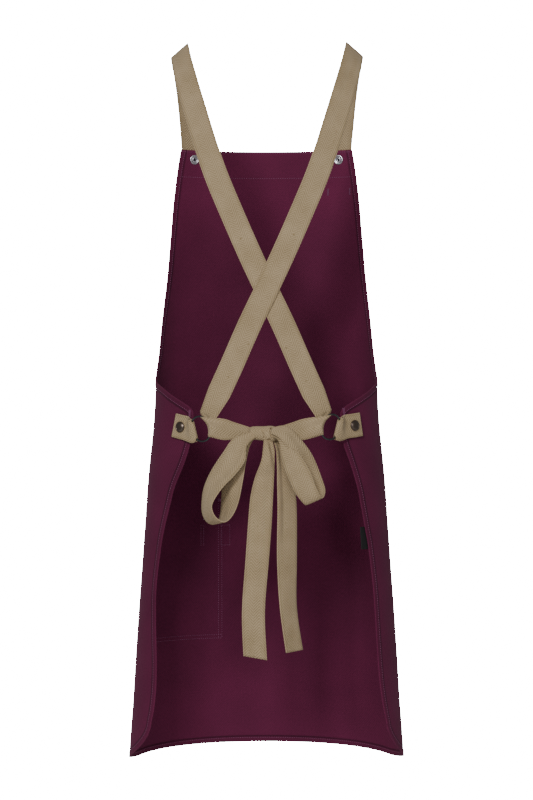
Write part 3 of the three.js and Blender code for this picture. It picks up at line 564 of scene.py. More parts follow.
# %% Rings: where they sit
SIDE = {"left": -1, "right": 1}
OTHER = {"left": "right", "right": "left"}
RING_HOLE = 32.0
RING_WIRE = 2.5
RING_YAW, RING_PITCH, RING_ROLL = 37.0, 10.0, 9.0   # degrees that it is turned from lying flat
RING_FALL = 528.0       # below the shoulders
RING_LOWER = {"left": 1.4, "right": -1.2}
RING_STANDOFF = 3.0     # how far it stands off the cloth
RING_PULL = 3.0         # how far the bow pulls it towards the back's middle
WIRE_TURN = {"left": 140.2, "right": 141.0}         # wrap angle of its outer wire
WIRE_CLEAR = 0.85       # between the wire and a tab round it
FOLD_LOOSE = 1.5        # how much looser the strap turns round the wire
wire_radius = RING_WIRE / 2
ring_radius = (RING_HOLE + RING_WIRE) / 2
tape_on_cloth = (CLOTH_WALL + TAPE_WALL) / 2 + GAP
tape_round = wire_radius + WIRE_CLEAR + TAPE_WALL / 2
ring_drop = {name: RING_FALL - RISE + lower for name, lower in RING_LOWER.items()}


def ring_frame(name):
    """The ring's middle and its three directions: towards the back's middle, up and outwards."""
    side = SIDE[name]
    yaw, pitch, roll = (math.radians(value) for value in (RING_YAW, RING_PITCH, RING_ROLL))
    top = np.array([0, 0, 1.0])
    inward = np.array([-side * math.cos(yaw), -math.sin(yaw), 0])
    level = np.array([side * math.sin(yaw), -math.cos(yaw), 0])
    out = level * math.cos(pitch) - top * math.sin(pitch)
    rise = top * math.cos(pitch) + level * math.sin(pitch)
    lift = tape_on_cloth + tape_round + RING_STANDOFF
    outer_wire = on_cloth(side * WIRE_TURN[name], ring_drop[name], lift)
    middle = outer_wire + inward * (ring_radius + RING_PULL)
    h = inward * math.cos(roll) + rise * math.sin(roll)
    k = rise * math.cos(roll) - inward * math.sin(roll)
    return middle, h, k, out


def in_ring(ring, along, up, away):
    middle, h, k, out = ring
    parts = [np.asarray(x, float)[..., None] for x in (along, up, away)]
    return middle + parts[0] * h + parts[1] * k + parts[2] * out


# %% Routes of the straps
KNOT = np.array([-4.0, -122.0, -535.0])
SHOULDER_HALF = 123.0   # half the distance between the straps on the shoulders
BACK_REACH = 123.0      # how far behind the shoulders the straps cross
STRAP_INSET = 104.0     # from the middle of the bib to the middle of a strap
STRAP_TUCK = 33.0       # how far a strap reaches down over the bib
# Share of the shoulder's half width, of the reach back and of the fall, then the way it faces.
STRAP_ROUTE = np.array([
    (0.893, -0.540, 0.184, 0.40, 0.86, 0.30), (0.923, -0.420, 0.112, 0.46, 0.72, 0.50),
    (0.962, -0.270, 0.048, 0.56, 0.50, 0.66), (0.995, -0.105, 0.010, 0.64, 0.22, 0.73),
    (1.000, 0.065, -0.0015, 0.66, -0.04, 0.75), (0.985, 0.240, 0.012, 0.62, -0.30, 0.72),
    (0.952, 0.410, 0.048, 0.54, -0.55, 0.63), (0.885, 0.575, 0.106, 0.42, -0.74, 0.50),
    (0.785, 0.725, 0.186, 0.28, -0.88, 0.34), (0.662, 0.840, 0.280, 0.18, -0.95, 0.20),
    (0.545, 0.915, 0.358, 0.10, -0.98, 0.11), (0.375, 0.970, 0.453, 0.05, -1.00, 0.05),
    (0.187, 0.995, 0.553, 0.02, -1.00, 0.02), (0.000, 1.000, 0.646, 0.00, -1.00, 0.00),
    (-0.190, 0.985, 0.738, -0.03, -1.00, -0.02), (-0.375, 0.960, 0.836, -0.08, -1.00, -0.03),
    (-0.520, 0.935, 0.910, -0.18, -0.97, -0.03)])
STRAP_ON_BIB = tape_on_cloth + GAP
fold_round = tape_round + FOLD_LOOSE
# The tie band from the ring to the knot: across, away from the body, top and bottom edge.
TIE_BAND = [
    (1.72, 0.12, 0.62, -0.28), (1.22, 0.20, 0.46, -0.27), (0.66, 0.26, 0.28, -0.24),
    (0.30, 0.20, 0.16, -0.14)]


def strap_rows(side, lift):
    """Rows of a strap from its sewn end on the bib down to the far ring."""
    rows = []
    for drop in (STRAP_TUCK, STRAP_TUCK * 0.6, STRAP_TUCK * 0.25, 0.0):
        turn = side * turn_at(STRAP_INSET + (1 - drop / STRAP_TUCK) * 3, drop)
        swing = wrap_for(TAPE / 2, turn, drop) * side
        a, b = (on_cloth(place, drop, STRAP_ON_BIB) for place in (turn - swing, turn + swing))
        chord = (a + b) / 2
        above = -RISE - chord[2]
        bow = on_cloth(side * turn_at(abs(chord[0]), above), above, STRAP_ON_BIB) - chord
        rows.append((a, b, bow))
    route = STRAP_ROUTE[:, :3] * (side * SHOULDER_HALF, -BACK_REACH, -RING_FALL)
    facing = STRAP_ROUTE[:, 3:] * (side, 1, 1)
    start = (rows[-1][0] + rows[-1][1]) / 2
    before = np.concatenate([start[None], route[:-1]])
    after = np.concatenate([route[1:], route[-1:]])
    across = unit(np.cross(facing, unit(after - before)) * -side)
    centre = route + unit(facing) * lift
    rows += [(c + n * TAPE / 2, c - n * TAPE / 2, np.zeros(3)) for c, n in zip(centre, across)]
    return rows


# Where the two edges pass the ring, in ring radii along and up, and the angles of the fold.
FOLD_ABOVE = ((0.12, 1.35), (1.57, 0.59))
FOLD_ENTRY = ((0.17, 1.12), (1.04, -0.23))
FOLD_EXIT = ((0.62, 0.90), (0.90, -0.75))
FOLD_TOP = 66.0
FOLD_BOTTOM = -47.0
FOLD_SNUG = 1.95        # from the wire's middle to the middle of the tape round it


def fold_rows(name):
    """Rows of a strap round the far ring's wire, which it hugs, and on to the knot."""
    ring, r = ring_frame(OTHER[name]), ring_radius
    top, bottom = math.radians(FOLD_TOP), math.radians(FOLD_BOTTOM)
    bulge = ring[1] * r / 2

    def pair(places, away):
        return [in_ring(ring, along * r, up * r, away) for along, up in places]

    rows = [(*pair(FOLD_ABOVE, -fold_round - GAP), bulge * 0), (*pair(FOLD_ENTRY, -fold_round * 0.8), bulge)]
    for swing in (-90, -45, 0, 45, 90):
        angle = math.radians(swing)
        radius = r - FOLD_SNUG * math.cos(angle)
        a, b, c = (in_ring(ring, radius * math.cos(t), radius * math.sin(t), FOLD_SNUG * math.sin(angle))
                   for t in (top, bottom, (top + bottom) / 2))
        rows.append((a, b, (c - (a + b) / 2) * 0.8))
    rows.append((*pair(FOLD_EXIT, fold_round * 0.8), bulge))
    for across, away, up, low in TIE_BAND:
        a = KNOT + TAPE * np.array([-SIDE[name] * across, away, up])
        rows.append((a, a + [0, 0, TAPE * (low - up)], np.zeros(3)))
    return rows


TAPE_SEEN = 1.3         # thickness of the visible webbing


def tape_rub_and_shade(grid):
    """Rubbed edges, and a faint dark line of painted shade beside them."""
    across = np.linspace(-1, 1, grid.shape[1])[None, :] * np.ones((len(grid), 1))
    from_edge = (1 - np.abs(across)) * TAPE / 2
    return 0.25 * line_at(from_edge, 0, 0.8) - 0.3 * line_at(from_edge, 1.9, 0.7)


def make_tape(name, node, grid):
    made = make_sheet(name, grid, TAPE_SEEN, webbing, wear_and_shade=tape_rub_and_shade(grid))
    declare(made, node, grid)


crossing_lift = TAPE_WALL / 2 + GAP
for name, side in SIDE.items():
    over = ribbon(strap_rows(side, side * crossing_lift), 8, 21)
    fold = ribbon(fold_rows(name), 8, 21)
    make_tape(f"strap_{name}_tape", f"shoulder_strap_{name}", np.concatenate([over, fold]))

# %% [markdown]
# ## The bow
# The bow is the same tape: a wrap drawn tight round the crossing bands, two loops and two tails.
# Each loop and tail is a ribbon through rows of near and far edges, in tape widths from the middle
# of the knot: across, away from the body and up.

# %% Loops and tails
LEFT_LOOP = [
    ((-0.25, -0.14, -0.10), (-0.35, -0.12, 0.10)), ((-0.69, -0.38, -0.52), (-1.23, -0.19, -0.19)),
    ((-0.78, -0.56, -1.15), (-1.69, -0.19, -0.78)), ((-1.23, -0.66, -1.77), (-2.20, -0.06, -1.56)),
    ((-1.69, -0.75, -2.23), (-2.49, 0.06, -2.20)), ((-2.11, -0.78, -2.86), (-2.60, 0.12, -2.73)),
    ((-2.13, -0.78, -3.23), (-2.60, 0.16, -3.35)), ((-1.92, -0.75, -3.56), (-2.40, 0.19, -3.75)),
    ((-1.57, -0.70, -3.68), (-2.10, 0.22, -3.84)), ((-1.25, -0.62, -3.35), (-1.87, 0.22, -3.55)),
    ((-1.03, -0.50, -2.79), (-1.80, 0.22, -3.03)), ((-0.86, -0.38, -1.95), (-1.74, 0.19, -2.20)),
    ((-0.74, -0.25, -1.25), (-1.45, 0.14, -1.30)), ((-0.58, -0.10, -0.55), (-0.92, 0.10, -0.50)),
    ((-0.28, 0.00, -0.08), (-0.35, 0.06, 0.06))]
RIGHT_LOOP = [
    ((0.26, -0.18, -0.12), (0.34, -0.20, 0.24)), ((0.62, -0.36, -0.30), (0.70, -0.40, 0.12)),
    ((0.72, -0.42, -0.80), (1.19, -0.52, -0.44)),
    ((0.84, -0.48, -1.36), (1.63, -0.66, -1.04)), ((1.04, -0.56, -1.86), (1.95, -0.76, -1.59)),
    ((1.31, -0.60, -2.45), (2.17, -0.80, -2.17)), ((1.61, -0.56, -2.86), (2.36, -0.76, -2.57)),
    ((1.78, -0.40, -3.00), (2.50, -0.56, -2.68)), ((1.83, -0.14, -2.80), (2.60, -0.24, -2.42)),
    ((1.66, 0.00, -2.17), (2.50, -0.06, -2.01)), ((1.37, -0.30, -1.33), (2.10, -0.14, -1.00)),
    ((0.98, -0.62, -0.60), (1.62, -0.30, -0.30)), ((0.66, -0.66, -0.18), (1.02, -0.36, 0.30)),
    ((0.28, -0.30, 0.00), (0.40, -0.24, 0.26))]
LEFT_TAIL = [
    ((0.02, -0.04, -0.10), (0.32, -0.04, -0.10)), ((-0.02, -0.10, -0.60), (0.46, -0.10, -0.66)),
    ((-0.10, -0.12, -1.15), (0.47, -0.08, -1.15)), ((-0.37, -0.10, -1.88), (0.45, -0.04, -1.75)),
    ((-0.55, -0.06, -2.66), (0.41, -0.02, -2.55)), ((-0.64, -0.03, -3.62), (0.34, 0.00, -3.85)),
    ((-0.76, 0.00, -5.31), (0.23, 0.03, -5.31)), ((-0.91, 0.04, -7.54), (0.06, 0.06, -7.54)),
    ((-0.85, 0.10, -9.40), (0.15, 0.10, -9.58))]
RIGHT_TAIL = [
    ((0.25, 0.10, -0.08), (0.35, 0.12, 0.08)), ((0.50, 0.14, -0.60), (0.90, 0.22, -0.52)),
    ((0.56, 0.06, -1.30), (1.12, 0.26, -1.20)), ((0.57, 0.00, -2.10), (1.28, 0.30, -1.90)),
    ((0.59, -0.04, -3.23), (1.40, 0.40, -3.10)), ((0.57, -0.02, -5.32), (1.41, 0.48, -5.28)),
    ((0.69, 0.00, -7.37), (1.41, 0.62, -7.35)), ((0.95, 0.02, -9.27), (1.67, 0.64, -9.20))]


def bow_part(name, node, table, arch, folds):
    """A ribbon of the bow, arched a little towards the eye. A fold lifts the part of the tape on
    the near side of a line from (row, u) to (row, u), over a width, by a depth in millimetres."""
    table = np.asarray(table, float)
    edges = KNOT + table * TAPE
    bow = np.zeros((len(table), 1, 3))
    bow[1:-1, 0, 1] = arch
    grid = ribbon(np.concatenate([edges, bow], axis=1), 10, 31)
    row = np.linspace(0, len(table) - 1, len(grid))[:, None]
    u = np.linspace(-1, 1, grid.shape[1])[None, :]
    for row_a, u_a, row_b, u_b, wide, depth in folds:
        line = u_a + (u_b - u_a) * (row - row_a) / (row_b - row_a)
        window = smooth(row_a - 0.4, row_a + 0.3, row) * (1 - smooth(row_b - 0.5, row_b + 0.5, row))
        grid[..., 1] -= depth * (1 - smooth(-wide, wide, u - line)) * window
    make_tape(name, node, grid)


# The tape is folded on itself where it leaves the knot, and the folds open out further down.
bow_part("loop_left_tape", "bow_loop_left", LEFT_LOOP, -2.0,
         [(1.0, -0.55, 3.5, -0.5, 0.2, 3.0), (8.5, 0.3, 12.0, 0.2, 0.3, 1.5)])
bow_part("loop_right_tape", "bow_loop_right", RIGHT_LOOP, -2.0,
         [(0.8, 0.62, 2.6, 0.7, 0.2, 3.0), (9.0, 0.1, 12.0, 0.1, 0.3, 1.5)])
bow_part("tail_left_tape", "tie_tail_left", LEFT_TAIL, -1.2, [(0.6, -0.05, 2.6, 0.85, 0.28, 4.5)])
bow_part("tail_right_tape", "tie_tail_right", RIGHT_TAIL, -1.2, [(0.7, -0.6, 4.6, -0.6, 0.22, 4.5)])


# %% Closed forms: rings of points from one pole to the other
def lofted(name, first, rings, last, material):
    """Triangles from a pole point to the first ring, between rings, and to the last pole point."""
    count, sides = rings.shape[:2]
    points = np.concatenate([[first], rings.reshape(-1, 3), [last]])
    k = np.arange(sides)
    after = (k + 1) % sides
    base = 1 + np.arange(count - 1)[:, None] * sides
    a, b = (base + k).ravel(), (base + after).ravel()
    low, high = np.stack([a, b, b + sides], axis=1), np.stack([a, b + sides, a + sides], axis=1)
    body = np.concatenate([low, high])
    end = len(points) - 1
    start = np.stack([np.zeros(sides, int), 1 + after, 1 + k], axis=1)
    finish = np.stack([np.full(sides, end), end - sides + k, end - sides + after], axis=1)
    step = np.linalg.norm(np.diff(rings, axis=0), axis=2).mean(axis=1)
    along = np.concatenate([[0], np.cumsum(step)])
    round_by = np.linalg.norm(rings[:, 1] - rings[:, 0], axis=1).mean() * sides
    uv = np.stack(np.broadcast_arrays(k[None, :] / sides * round_by, along[:, None]), axis=-1)
    uv = np.concatenate([[[0, 0]], uv.reshape(-1, 2), [[0, along[-1]]]])
    return make_object(name, points, np.concatenate([start, body, finish]), uv, material)


# %% The knot's drawn-in form
KNOT_WIDE = 34.0
KNOT_TALL = 20.0
KNOT_DEEP = 17.0
# Place across, height, and how tall and deep the bundle is, as shares of the knot's sizes.
KNOT_ROWS = np.array([
    (-0.56, 0.02, 0.40, 0.42), (-0.50, 0.02, 0.82, 0.78), (-0.30, 0.02, 0.92, 0.94),
    (0.00, -0.01, 0.98, 1.00), (0.25, -0.04, 1.10, 1.08), (0.44, -0.03, 0.98, 0.94),
    (0.54, 0.00, 0.55, 0.52)])
# Creases on the back: from and to, in millimetres across and up, then depth and width.
KNOT_CREASES = [
    (-20.0, 6.4, 9.0, 7.2, 0.6, 0.7), (-1.0, 3.6, 1.4, -6.4, 2.2, 0.9), (3.8, 5.0, 4.6, 0.5, 0.8, 0.9),
    (8.9, 3.0, 10.9, -5.0, 2.2, 0.9), (10.2, 6.4, 12.4, 3.8, 5.0, 1.2), (-17.6, -0.6, -11.2, -8.8, 2.2, 1.0),
    (3.2, -10.2, 8.2, -8.6, 4.0, 1.3), (12.1, 4.7, 16.8, 0.7, 1.8, 0.9), (16.8, 0.7, 19.9, -6.0, 1.8, 0.9),
    (-10.0, 1.0, -6.0, -4.0, 0.4, 2.0)]


def creased(points, creases, middle):
    """Presses each crease into the back: its depth times exp(-(distance / width) ** 2)."""
    flat = points[..., [0, 2]] - middle[[0, 2]]
    push = np.zeros(points.shape[:-1])
    for x0, z0, x1, z1, depth, wide in creases:
        start, along = np.array([x0, z0]), np.array([x1 - x0, z1 - z0])
        share = np.clip(((flat - start) @ along) / (along @ along), 0, 1)
        away = np.linalg.norm(flat - start - share[..., None] * along, axis=-1)
        push = push + depth * np.exp(-(away / wide) ** 2)
    facing = smooth(0.0, 3.0, middle[1] - points[..., 1])
    return points + np.array([0, 1.0, 0]) * (push * facing)[..., None]


knot_rows = through(KNOT_ROWS, np.linspace(0, len(KNOT_ROWS) - 1, 90))
knot_angle = np.linspace(0, 2 * np.pi, 120, endpoint=False)[None, :]
across, up, tall, deep = (knot_rows[:, i:i + 1] for i in range(4))
knot_form = np.stack(np.broadcast_arrays(
    KNOT_WIDE * across, KNOT_DEEP * deep / 2 * np.cos(knot_angle),
    KNOT_TALL * (up + tall / 2 * np.sin(knot_angle))), axis=-1) + KNOT
knot_form = creased(knot_form, KNOT_CREASES, KNOT)
knot_seen = lofted("knot_tape", knot_form[0].mean(axis=0), knot_form, knot_form[-1].mean(axis=0), webbing)
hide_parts("bow_knot")
print("knot points:", knot_form.shape)

# %% [markdown]
# ## Rings, tabs and snaps
# Each ring is a welded wire ring, plated dark. A webbing tab goes round its outer wire and lies
# double on the flap, held by a snap whose cap is domed with a rolled rim and whose back, on the
# inside, is a dished plate with a hole, where a dark disc is painted shade. Profiles are turned round their
# own axes.


# %% Rings
def wire_ring(name, around=96, about=20):
    """A circle of small circles: the ring's radius plus the wire's at each pair of angles."""
    i, j = np.meshgrid(np.arange(around), np.arange(about), indexing="ij")
    turn, wind = 2 * np.pi * i / around, 2 * np.pi * j / about
    reach = ring_radius + wire_radius * np.cos(wind)
    points = in_ring(ring_frame(name), reach * np.cos(turn), reach * np.sin(turn), wire_radius * np.sin(wind))
    points = points.reshape(-1, 3)
    steps = ((0, 0), (1, 0), (1, 1), (0, 1))
    corner = [((i + di) % around * about + (j + dj) % about).ravel() for di, dj in steps]
    faces = np.stack(corner, axis=1)
    made = make_object(f"ring_{name}_wire", points, faces, np.zeros((len(points), 2)), gunmetal)
    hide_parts(f"ring_{name}")


# %% Tabs
TAB_LENGTH = {"left": 30.0, "right": 36.5}
TAB_TILT = {"left": 10.5, "right": 6.5}
TAB_SAG = 0.8
TAB_PINCH = 0.68        # share of its width that a tab is drawn in to inside the ring
TAB_WIDE = 0.97         # share of its width at the wire's outside
CAP_SETBACK = {"left": 16.8, "right": 22.5}


def tab_grid(name):
    """Rows across the tab: flat on the flap, round the wire, and back over the first layer."""
    ring = ring_frame(name)
    turn_here = WIRE_TURN[name]
    drop_here = ring_drop[name] + TAB_SAG
    slope = math.tan(math.radians(TAB_TILT[name]))
    upright = math.tan(math.radians(RING_ROLL))
    half = TAPE / 2
    long = TAB_LENGTH[name]
    inner = tape_on_cloth
    outer = inner + TAPE_WALL + GAP
    u = np.linspace(-1, 1, 21)

    def on_flap(length, lift):
        drop = drop_here - u * half - length * slope
        turn = turn_here - wrap_for(length - u * half * slope, turn_here, drop_here)
        return on_cloth(SIDE[name] * turn, drop, np.full_like(u, lift))

    def at_ring(along, away, share, lean=0.0):
        rise = u * half * share
        return in_ring(ring, lean * rise - along, rise - TAB_SAG / 2, np.full_like(u, away))

    fold_at = ring_radius - tape_round - wire_radius
    rows = [on_flap(long, inner), on_flap(long * 0.6, inner), on_flap(tape_round * 3, inner),
            at_ring(ring_radius + wire_radius, -tape_round, TAB_WIDE, upright)]
    for swing in (-90, -45, 0, 45, 90):
        angle = math.radians(swing)
        share = TAB_PINCH + (1 - math.cos(angle)) * (TAB_WIDE - TAB_PINCH)
        rows.append(at_ring(fold_at - tape_round * math.cos(angle), tape_round * math.sin(angle), share))
    rows += [at_ring(ring_radius + wire_radius, tape_round, TAB_WIDE, upright),
             on_flap(tape_round * 2.4, outer + GAP * 2), on_flap(long * 0.45, outer),
             on_flap(long * 0.7, outer), on_flap(long, outer)]
    return through(np.array(rows), np.linspace(0, len(rows) - 1, (len(rows) - 1) * 8 + 1))


# %% Caps and snap backs
def turned(name, profile, middle, facing, material, between=4):
    """Rows of radius and height, smoothed and turned round an axis that faces outwards."""
    profile = np.asarray(profile, float)
    shape = through(profile, np.linspace(0, len(profile) - 1, (len(profile) - 1) * between + 1))
    a = unit(np.cross(facing, [0, 0, 1.0]))
    b = np.cross(facing, a)
    angle = np.linspace(0, 2 * np.pi, 56, endpoint=False)[None, :, None]
    spoke = np.cos(angle) * a + np.sin(angle) * b
    rings = middle + shape[:, :1, None] * spoke + shape[:, 1:, None] * facing
    first, last = (middle + facing * height for height in shape[[0, -1], 1])
    return lofted(name, first, rings, last, material)


CAP_PROFILE = [
    (7.0, 0.0), (7.45, 0.25), (7.5, 0.9), (7.2, 1.45), (6.6, 1.5), (6.2, 1.25), (5.8, 1.5), (4.6, 2.2),
    (2.6, 2.75), (0.4, 2.95)]
BACK_PROFILE = [
    (6.4, 0.0), (6.85, 0.2), (6.9, 0.7), (6.5, 1.15), (5.6, 1.3), (4.6, 1.0), (3.6, 0.75), (3.0, 1.2),
    (2.5, 1.45), (2.1, 1.2), (1.9, 0.4), (1.6, 0.1), (0.4, 0.1)]
HOLE_PROFILE = [(1.5, 0.15), (1.45, 0.32), (0.3, 0.34)]
BACK_SEAT = {"tab": 0.62, "bib": 1.0}   # the bib's cloth is doubled under its snaps
BIB_CAP_DROP = 13.0                     # below the bib's top edge


def snap(part, name, turn, drop, cap_seat):
    """A cap outside and a dished back inside, at one place on the cloth."""
    out = cloth_out(turn, drop)
    outside, inside = on_cloth(turn, drop, cap_seat), on_cloth(turn, drop, -BACK_SEAT[part])
    cap = turned(f"{part}_{name}_cap_dome", CAP_PROFILE, outside, out, bronze)
    back = turned(f"{part}_{name}_snap_dish", BACK_PROFILE, inside, -out, nickel)
    # The hole is a dark disc of painted shade.
    hole = turned(f"{part}_{name}_snap_hole_shade", HOLE_PROFILE, inside, -out, shade_steel)
    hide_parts(f"{part}_cap_{name}")
    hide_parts(f"{part}_snap_back_{name}")


# %% Both sides
for name, side in SIDE.items():
    wire_ring(name)
    setback = CAP_SETBACK[name]
    fall = ring_drop[name] + TAB_SAG - setback * math.tan(math.radians(TAB_TILT[name]))
    tab_cap_turn = side * (WIRE_TURN[name] - wrap_for(setback, WIRE_TURN[name], fall))
    snap("tab", name, tab_cap_turn, fall, tape_on_cloth + TAPE_WALL + GAP + TAPE_WALL / 2 + 0.3)
    make_tape(f"tab_{name}_tape", f"ring_tab_{name}", tab_grid(name))
    snap("bib", name, side * turn_at(STRAP_INSET, BIB_CAP_DROP), BIB_CAP_DROP,
         tape_on_cloth + TAPE_WALL / 2 + 0.7)

# %% [markdown]
# ## Pocket, loops and label
# The front pocket is a patch of the same twill with its edges turned under and its mouth hemmed.
# Beside it a webbing loop is sewn down at both ends, and a small twill loop sits on the bib's edge.
# The label is a short piece of black woven tape, caught in the hem of the right flap.


# %% Patches on the cloth
def patch(start, stop, top, tall, lift, rows=24, columns=48):
    """Points on the cloth between two wrap angles; lift depends on the share from start to stop."""
    share = np.linspace(0, 1, columns)[None, :]
    drop = top + tall * np.linspace(0, 1, rows)[:, None]
    turn = start + (stop - start) * share
    turn, drop, lift = np.broadcast_arrays(turn, drop, lift(share))
    return on_cloth(turn, drop, lift)


PATCH_WALL = 1.0
patch_lift = (CLOTH_WALL + PATCH_WALL) / 2 + GAP
POCKET = {"inset": 63.5, "drop": 503.0, "tall": 205.0, "wide": 154.0}
pocket_turn = -turn_at(POCKET["inset"], POCKET["drop"])
pocket_end = pocket_turn - wrap_for(POCKET["wide"], pocket_turn, POCKET["drop"])
POCKET_ROWS, POCKET_COLUMNS = 90, 80
POCKET_HEM = 25.0       # depth of the hem at the mouth
POCKET_TURNED = 9.0     # width of the turned edges
pocket = patch(pocket_turn, pocket_end, POCKET["drop"], POCKET["tall"], lambda share: patch_lift + 0 * share,
               POCKET_ROWS, POCKET_COLUMNS)
share_across = np.linspace(0, 1, POCKET_COLUMNS)[None, :]
share_down = np.linspace(0, 1, POCKET_ROWS)[:, None]
from_side = np.minimum(share_across, 1 - share_across) * POCKET["wide"]
from_top, from_foot = np.broadcast_arrays(share_down, 1 - share_down, from_side)[:2]
from_top, from_foot = from_top * POCKET["tall"], from_foot * POCKET["tall"]
in_turned = 1 - smooth(POCKET_TURNED - 1, POCKET_TURNED + 1, np.minimum(from_side, from_foot))
rim = np.maximum(in_turned, 1 - smooth(POCKET_HEM - 1, POCKET_HEM + 1, from_top))
from_rim = np.minimum(from_side, np.minimum(from_top, from_foot))
# A rubbed rim, and painted shade in a dark line where the hemmed mouth ends.
pocket_rub_and_shade = 0.3 * line_at(from_rim, 0, 1.6) - 0.5 * line_at(from_top, POCKET_HEM + 1, 1.2)
made = make_sheet("pocket_cloth", pocket, 0.7 + 0.4 * rim, twill, wear_and_shade=pocket_rub_and_shade)
declare(made, "hip_pocket", pocket)

UTILITY = {"inset": 53.0, "drop": 556.0, "span": 42.0}
utility_turn = -turn_at(UTILITY["inset"], UTILITY["drop"])
utility_end = utility_turn - wrap_for(UTILITY["span"], utility_turn, UTILITY["drop"])
over_pocket = patch_lift + PATCH_WALL / 2 + GAP + TAPE_WALL / 2
LOOP_SLACK = 4.0        # how far the loops stand off in their middle


def utility_lift(share):
    """From the cloth up on to the pocket, with a slack bow between the two sewn ends."""
    climb = (over_pocket - tape_on_cloth) * np.minimum(share * 3, 1)
    return tape_on_cloth + climb + LOOP_SLACK * np.sin(np.pi * share) ** 2


utility = patch(utility_turn, utility_end, UTILITY["drop"] - TAPE / 2, TAPE, utility_lift, 21, 48)
utility = utility.transpose(1, 0, 2)[:, ::-1]
make_tape("utility_loop_tape", "utility_loop", utility)

BIB_LOOP = {"inset": 88.0, "drop": 59.0, "span": 33.0, "tall": 10.0}
bib_loop_turn = turn_at(BIB_LOOP["inset"], BIB_LOOP["drop"])
bib_loop_end = bib_loop_turn + wrap_for(BIB_LOOP["span"], bib_loop_turn, BIB_LOOP["drop"])
bib_loop = patch(bib_loop_turn, bib_loop_end, BIB_LOOP["drop"] - BIB_LOOP["tall"] / 2, BIB_LOOP["tall"],
                 lambda share: patch_lift + LOOP_SLACK * np.sin(np.pi * share) ** 2, 12, 40)
made = make_sheet("bib_loop_cloth", bib_loop, 0.9, twill)
declare(made, "bib_loop", bib_loop)

LABEL = {"drop": 549.0, "tall": 31.0, "shows": 9.5, "tuck": 6.0}
edge_share = OUTLINE[:, 1] - LABEL["drop"] / LENGTH
label_row = np.interp(0, edge_share, np.arange(len(OUTLINE)))
label_edge = float(through(OUTLINE[:, 3], label_row))
label_start = label_edge - wrap_for(LABEL["tuck"], label_edge, LABEL["drop"])
label_stop = label_edge + wrap_for(LABEL["shows"], label_edge, LABEL["drop"])
label = patch(label_start, label_stop, LABEL["drop"] - LABEL["tall"] / 2, LABEL["tall"],
              lambda share: -(CLOTH_WALL + PATCH_WALL) / 2 - GAP * 2 + 0 * share, 24, 14)
made = make_sheet("side_label_tape", label, 0.9, label_tape)
declare(made, "side_label", label)

# %% [markdown]
# ## Stitches
# Every hem, facing and patch is sewn with plum thread that is paler than the cloth. A stitch is a
# small spindle, 2.4 mm long, and each line of sewing is a row of them 3.3 mm apart along a path on
# the cloth, seen on both faces. Bar tacks are short dense rows laid crosswise.


# %% Lines of sewing
def inset_path(turn, drop, inset):
    """Moves a path sideways within the cloth. The sideways step is shared between turn and drop by
    solving for the two steps whose sum along the surface is nearest to it."""
    here = cloth(turn, drop)
    sideways = np.cross(unit(np.gradient(here, axis=0)), cloth_out(turn, drop)) * inset
    per_turn = cloth(turn + 0.5, drop) - cloth(turn - 0.5, drop)
    per_drop = cloth(turn, drop + 0.5) - cloth(turn, drop - 0.5)
    pairs = ((per_turn, per_turn), (per_turn, per_drop), (per_drop, per_drop))
    a, b, c = (np.sum(p * q, axis=-1) for p, q in pairs)
    p, q = (np.sum(sideways * per, axis=-1) for per in (per_turn, per_drop))
    spread = a * c - b * b
    return turn + (p * c - q * b) / spread, drop + (q * a - p * b) / spread


seams = []


def sew(turn, drop, lifts, pitch=3.3, long=2.4, cross=False):
    """Stitches at even steps along a path, on each face at the lift given."""
    path = cloth(turn, drop)
    length = np.concatenate([[0], np.cumsum(np.linalg.norm(np.diff(path, axis=0), axis=1))])
    at = np.arange(pitch / 2, length[-1], pitch)
    t, d = np.interp(at, length, turn), np.interp(at, length, drop)
    here, out = cloth(t, d), cloth_out(t, d)
    along = unit(np.gradient(here, axis=0))
    if cross:
        along = np.cross(along, out)
    for lift in lifts:
        seams.append((here + out * lift, along, out, np.full(len(at), long)))


def thread_mesh(name, stitches, material, wide=0.85, high=0.5):
    """A spindle for each stitch: a point, two rings of four and a point, 16 triangles."""
    middle, along, out, long = (np.concatenate(part) for part in zip(*stitches))
    side = unit(np.cross(along, out))
    four = ((0.5, 0), (0, 0.5), (-0.5, 0), (0, -0.5))
    belly = [(end, c, s) for end in (-0.28, 0.28) for c, s in four]
    spots = np.array([(-0.5, 0, 0), *belly, (0.5, 0, 0)])
    points = (middle[:, None] + along[:, None] * spots[None, :, :1] * long[:, None, None]
              + side[:, None] * spots[None, :, 1:2] * wide + out[:, None] * spots[None, :, 2:] * high)
    k, after = np.arange(4), (np.arange(4) + 1) % 4
    unit_faces = np.concatenate([
        np.stack([np.zeros(4, int), 1 + k, 1 + after], axis=1), np.stack([1 + k, 5 + k, 5 + after], axis=1),
        np.stack([1 + k, 5 + after, 1 + after], axis=1), np.stack([np.full(4, 9), 5 + after, 5 + k], axis=1)])
    faces = (unit_faces[None] + np.arange(len(middle))[:, None, None] * 10).reshape(-1, 3)
    made = make_object(name, points.reshape(-1, 3), faces, np.zeros((len(middle) * 10, 2)), material)
    print(name, "stitches:", len(middle), "triangles:", len(faces))
    return made


# %% Sewing on the panel
ON_HEM = (1.02, -1.02)  # lifts of the stitches on both faces of the turned cloth
INSIDE = -0.62          # and on the inside of the single cloth
HEM_SEAM = 6.2          # from the edge to the hem's stitches
sew(*inset_path(SIDE_PATH["turn"], SIDE_PATH["drop"], HEM_SEAM), ON_HEM)
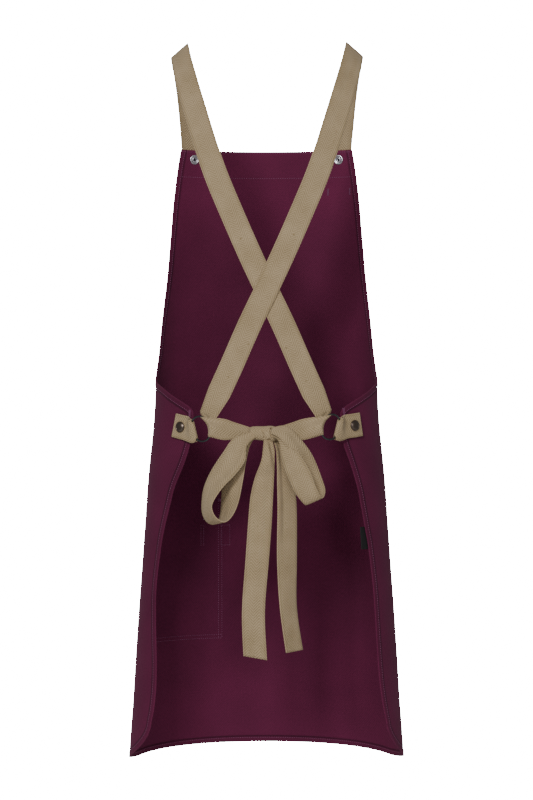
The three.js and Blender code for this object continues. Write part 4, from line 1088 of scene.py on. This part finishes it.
# The facing's lower seam and the bib's top seam: half the wrap, then the drop below the top edge.
for half_turn, drop in ((46.5, FACING - 1.8), (45.0, 2.2)):
    sew(np.linspace(-half_turn, half_turn, 400), np.full(400, drop), ON_HEM)


def at_front(x, drop):
    """The wrap angle of a point at x millimetres across on the front."""
    return math.copysign(1, x) * turn_at(abs(x), drop)


def straight(x0, drop0, x1, drop1, lifts=(INSIDE,), **values):
    """A straight line of sewing on the front between two points: across and down in millimetres."""
    share = np.linspace(0, 1, 60)
    drop = drop0 + (drop1 - drop0) * share
    turn = np.array([at_front(x0 + (x1 - x0) * s, d) for s, d in zip(share, drop)])
    sew(turn, drop, lifts, **values)


pocket_top = POCKET["drop"]
pocket_foot = POCKET["drop"] + POCKET["tall"]
outside_pocket = patch_lift + PATCH_WALL / 2 + 0.15
for x in (-65.2, -70.0):
    straight(x, pocket_top + 2, x, pocket_foot - 2, (INSIDE, outside_pocket))
for drop in (pocket_foot - 1.5, pocket_foot - 6.5):
    straight(-65.2, drop, -160.0, drop, (INSIDE, outside_pocket))
straight(-66.0, pocket_top + 22.5, -150.0, pocket_top + 22.5, (outside_pocket,))
for drop in np.arange(0, 5) * 0.8:
    straight(-64.4, pocket_top + 0.2 + drop, -70.8, pocket_top + 0.2 + drop, (-0.66,), pitch=1.6, long=1.9)
loop_top = UTILITY["drop"] - TAPE / 2
for x in (-53.6, -66.3, -91.4, -95.2):
    straight(x, loop_top, x, loop_top + TAPE, pitch=2.4, long=2.0)
for drop in (loop_top + 1.5, loop_top + TAPE - 1.5):
    straight(-53.6, drop, -66.3, drop, pitch=2.4, long=2.0)
for x in (89.2, 120.2):
    for shift in (-0.4, 0.4):
        straight(x + shift, 54.0, x + shift, 64.0, (-1.02,), pitch=1.0, long=2.0, cross=True)

# %% Bar tacks at the corners of the flaps, above each tab
TACK_TURN = {"left": 138.2, "right": 137.8}
for name, side in SIDE.items():
    for shift in (-0.35, 0.35):
        turn = np.full(20, side * (TACK_TURN[name] + shift))
        drop = np.linspace(ring_drop[name] - 26, ring_drop[name] - 16, 20)
        sew(turn, drop, ON_HEM, pitch=1.0, long=2.2, cross=True)
thread_mesh("seam_thread", seams, thread)
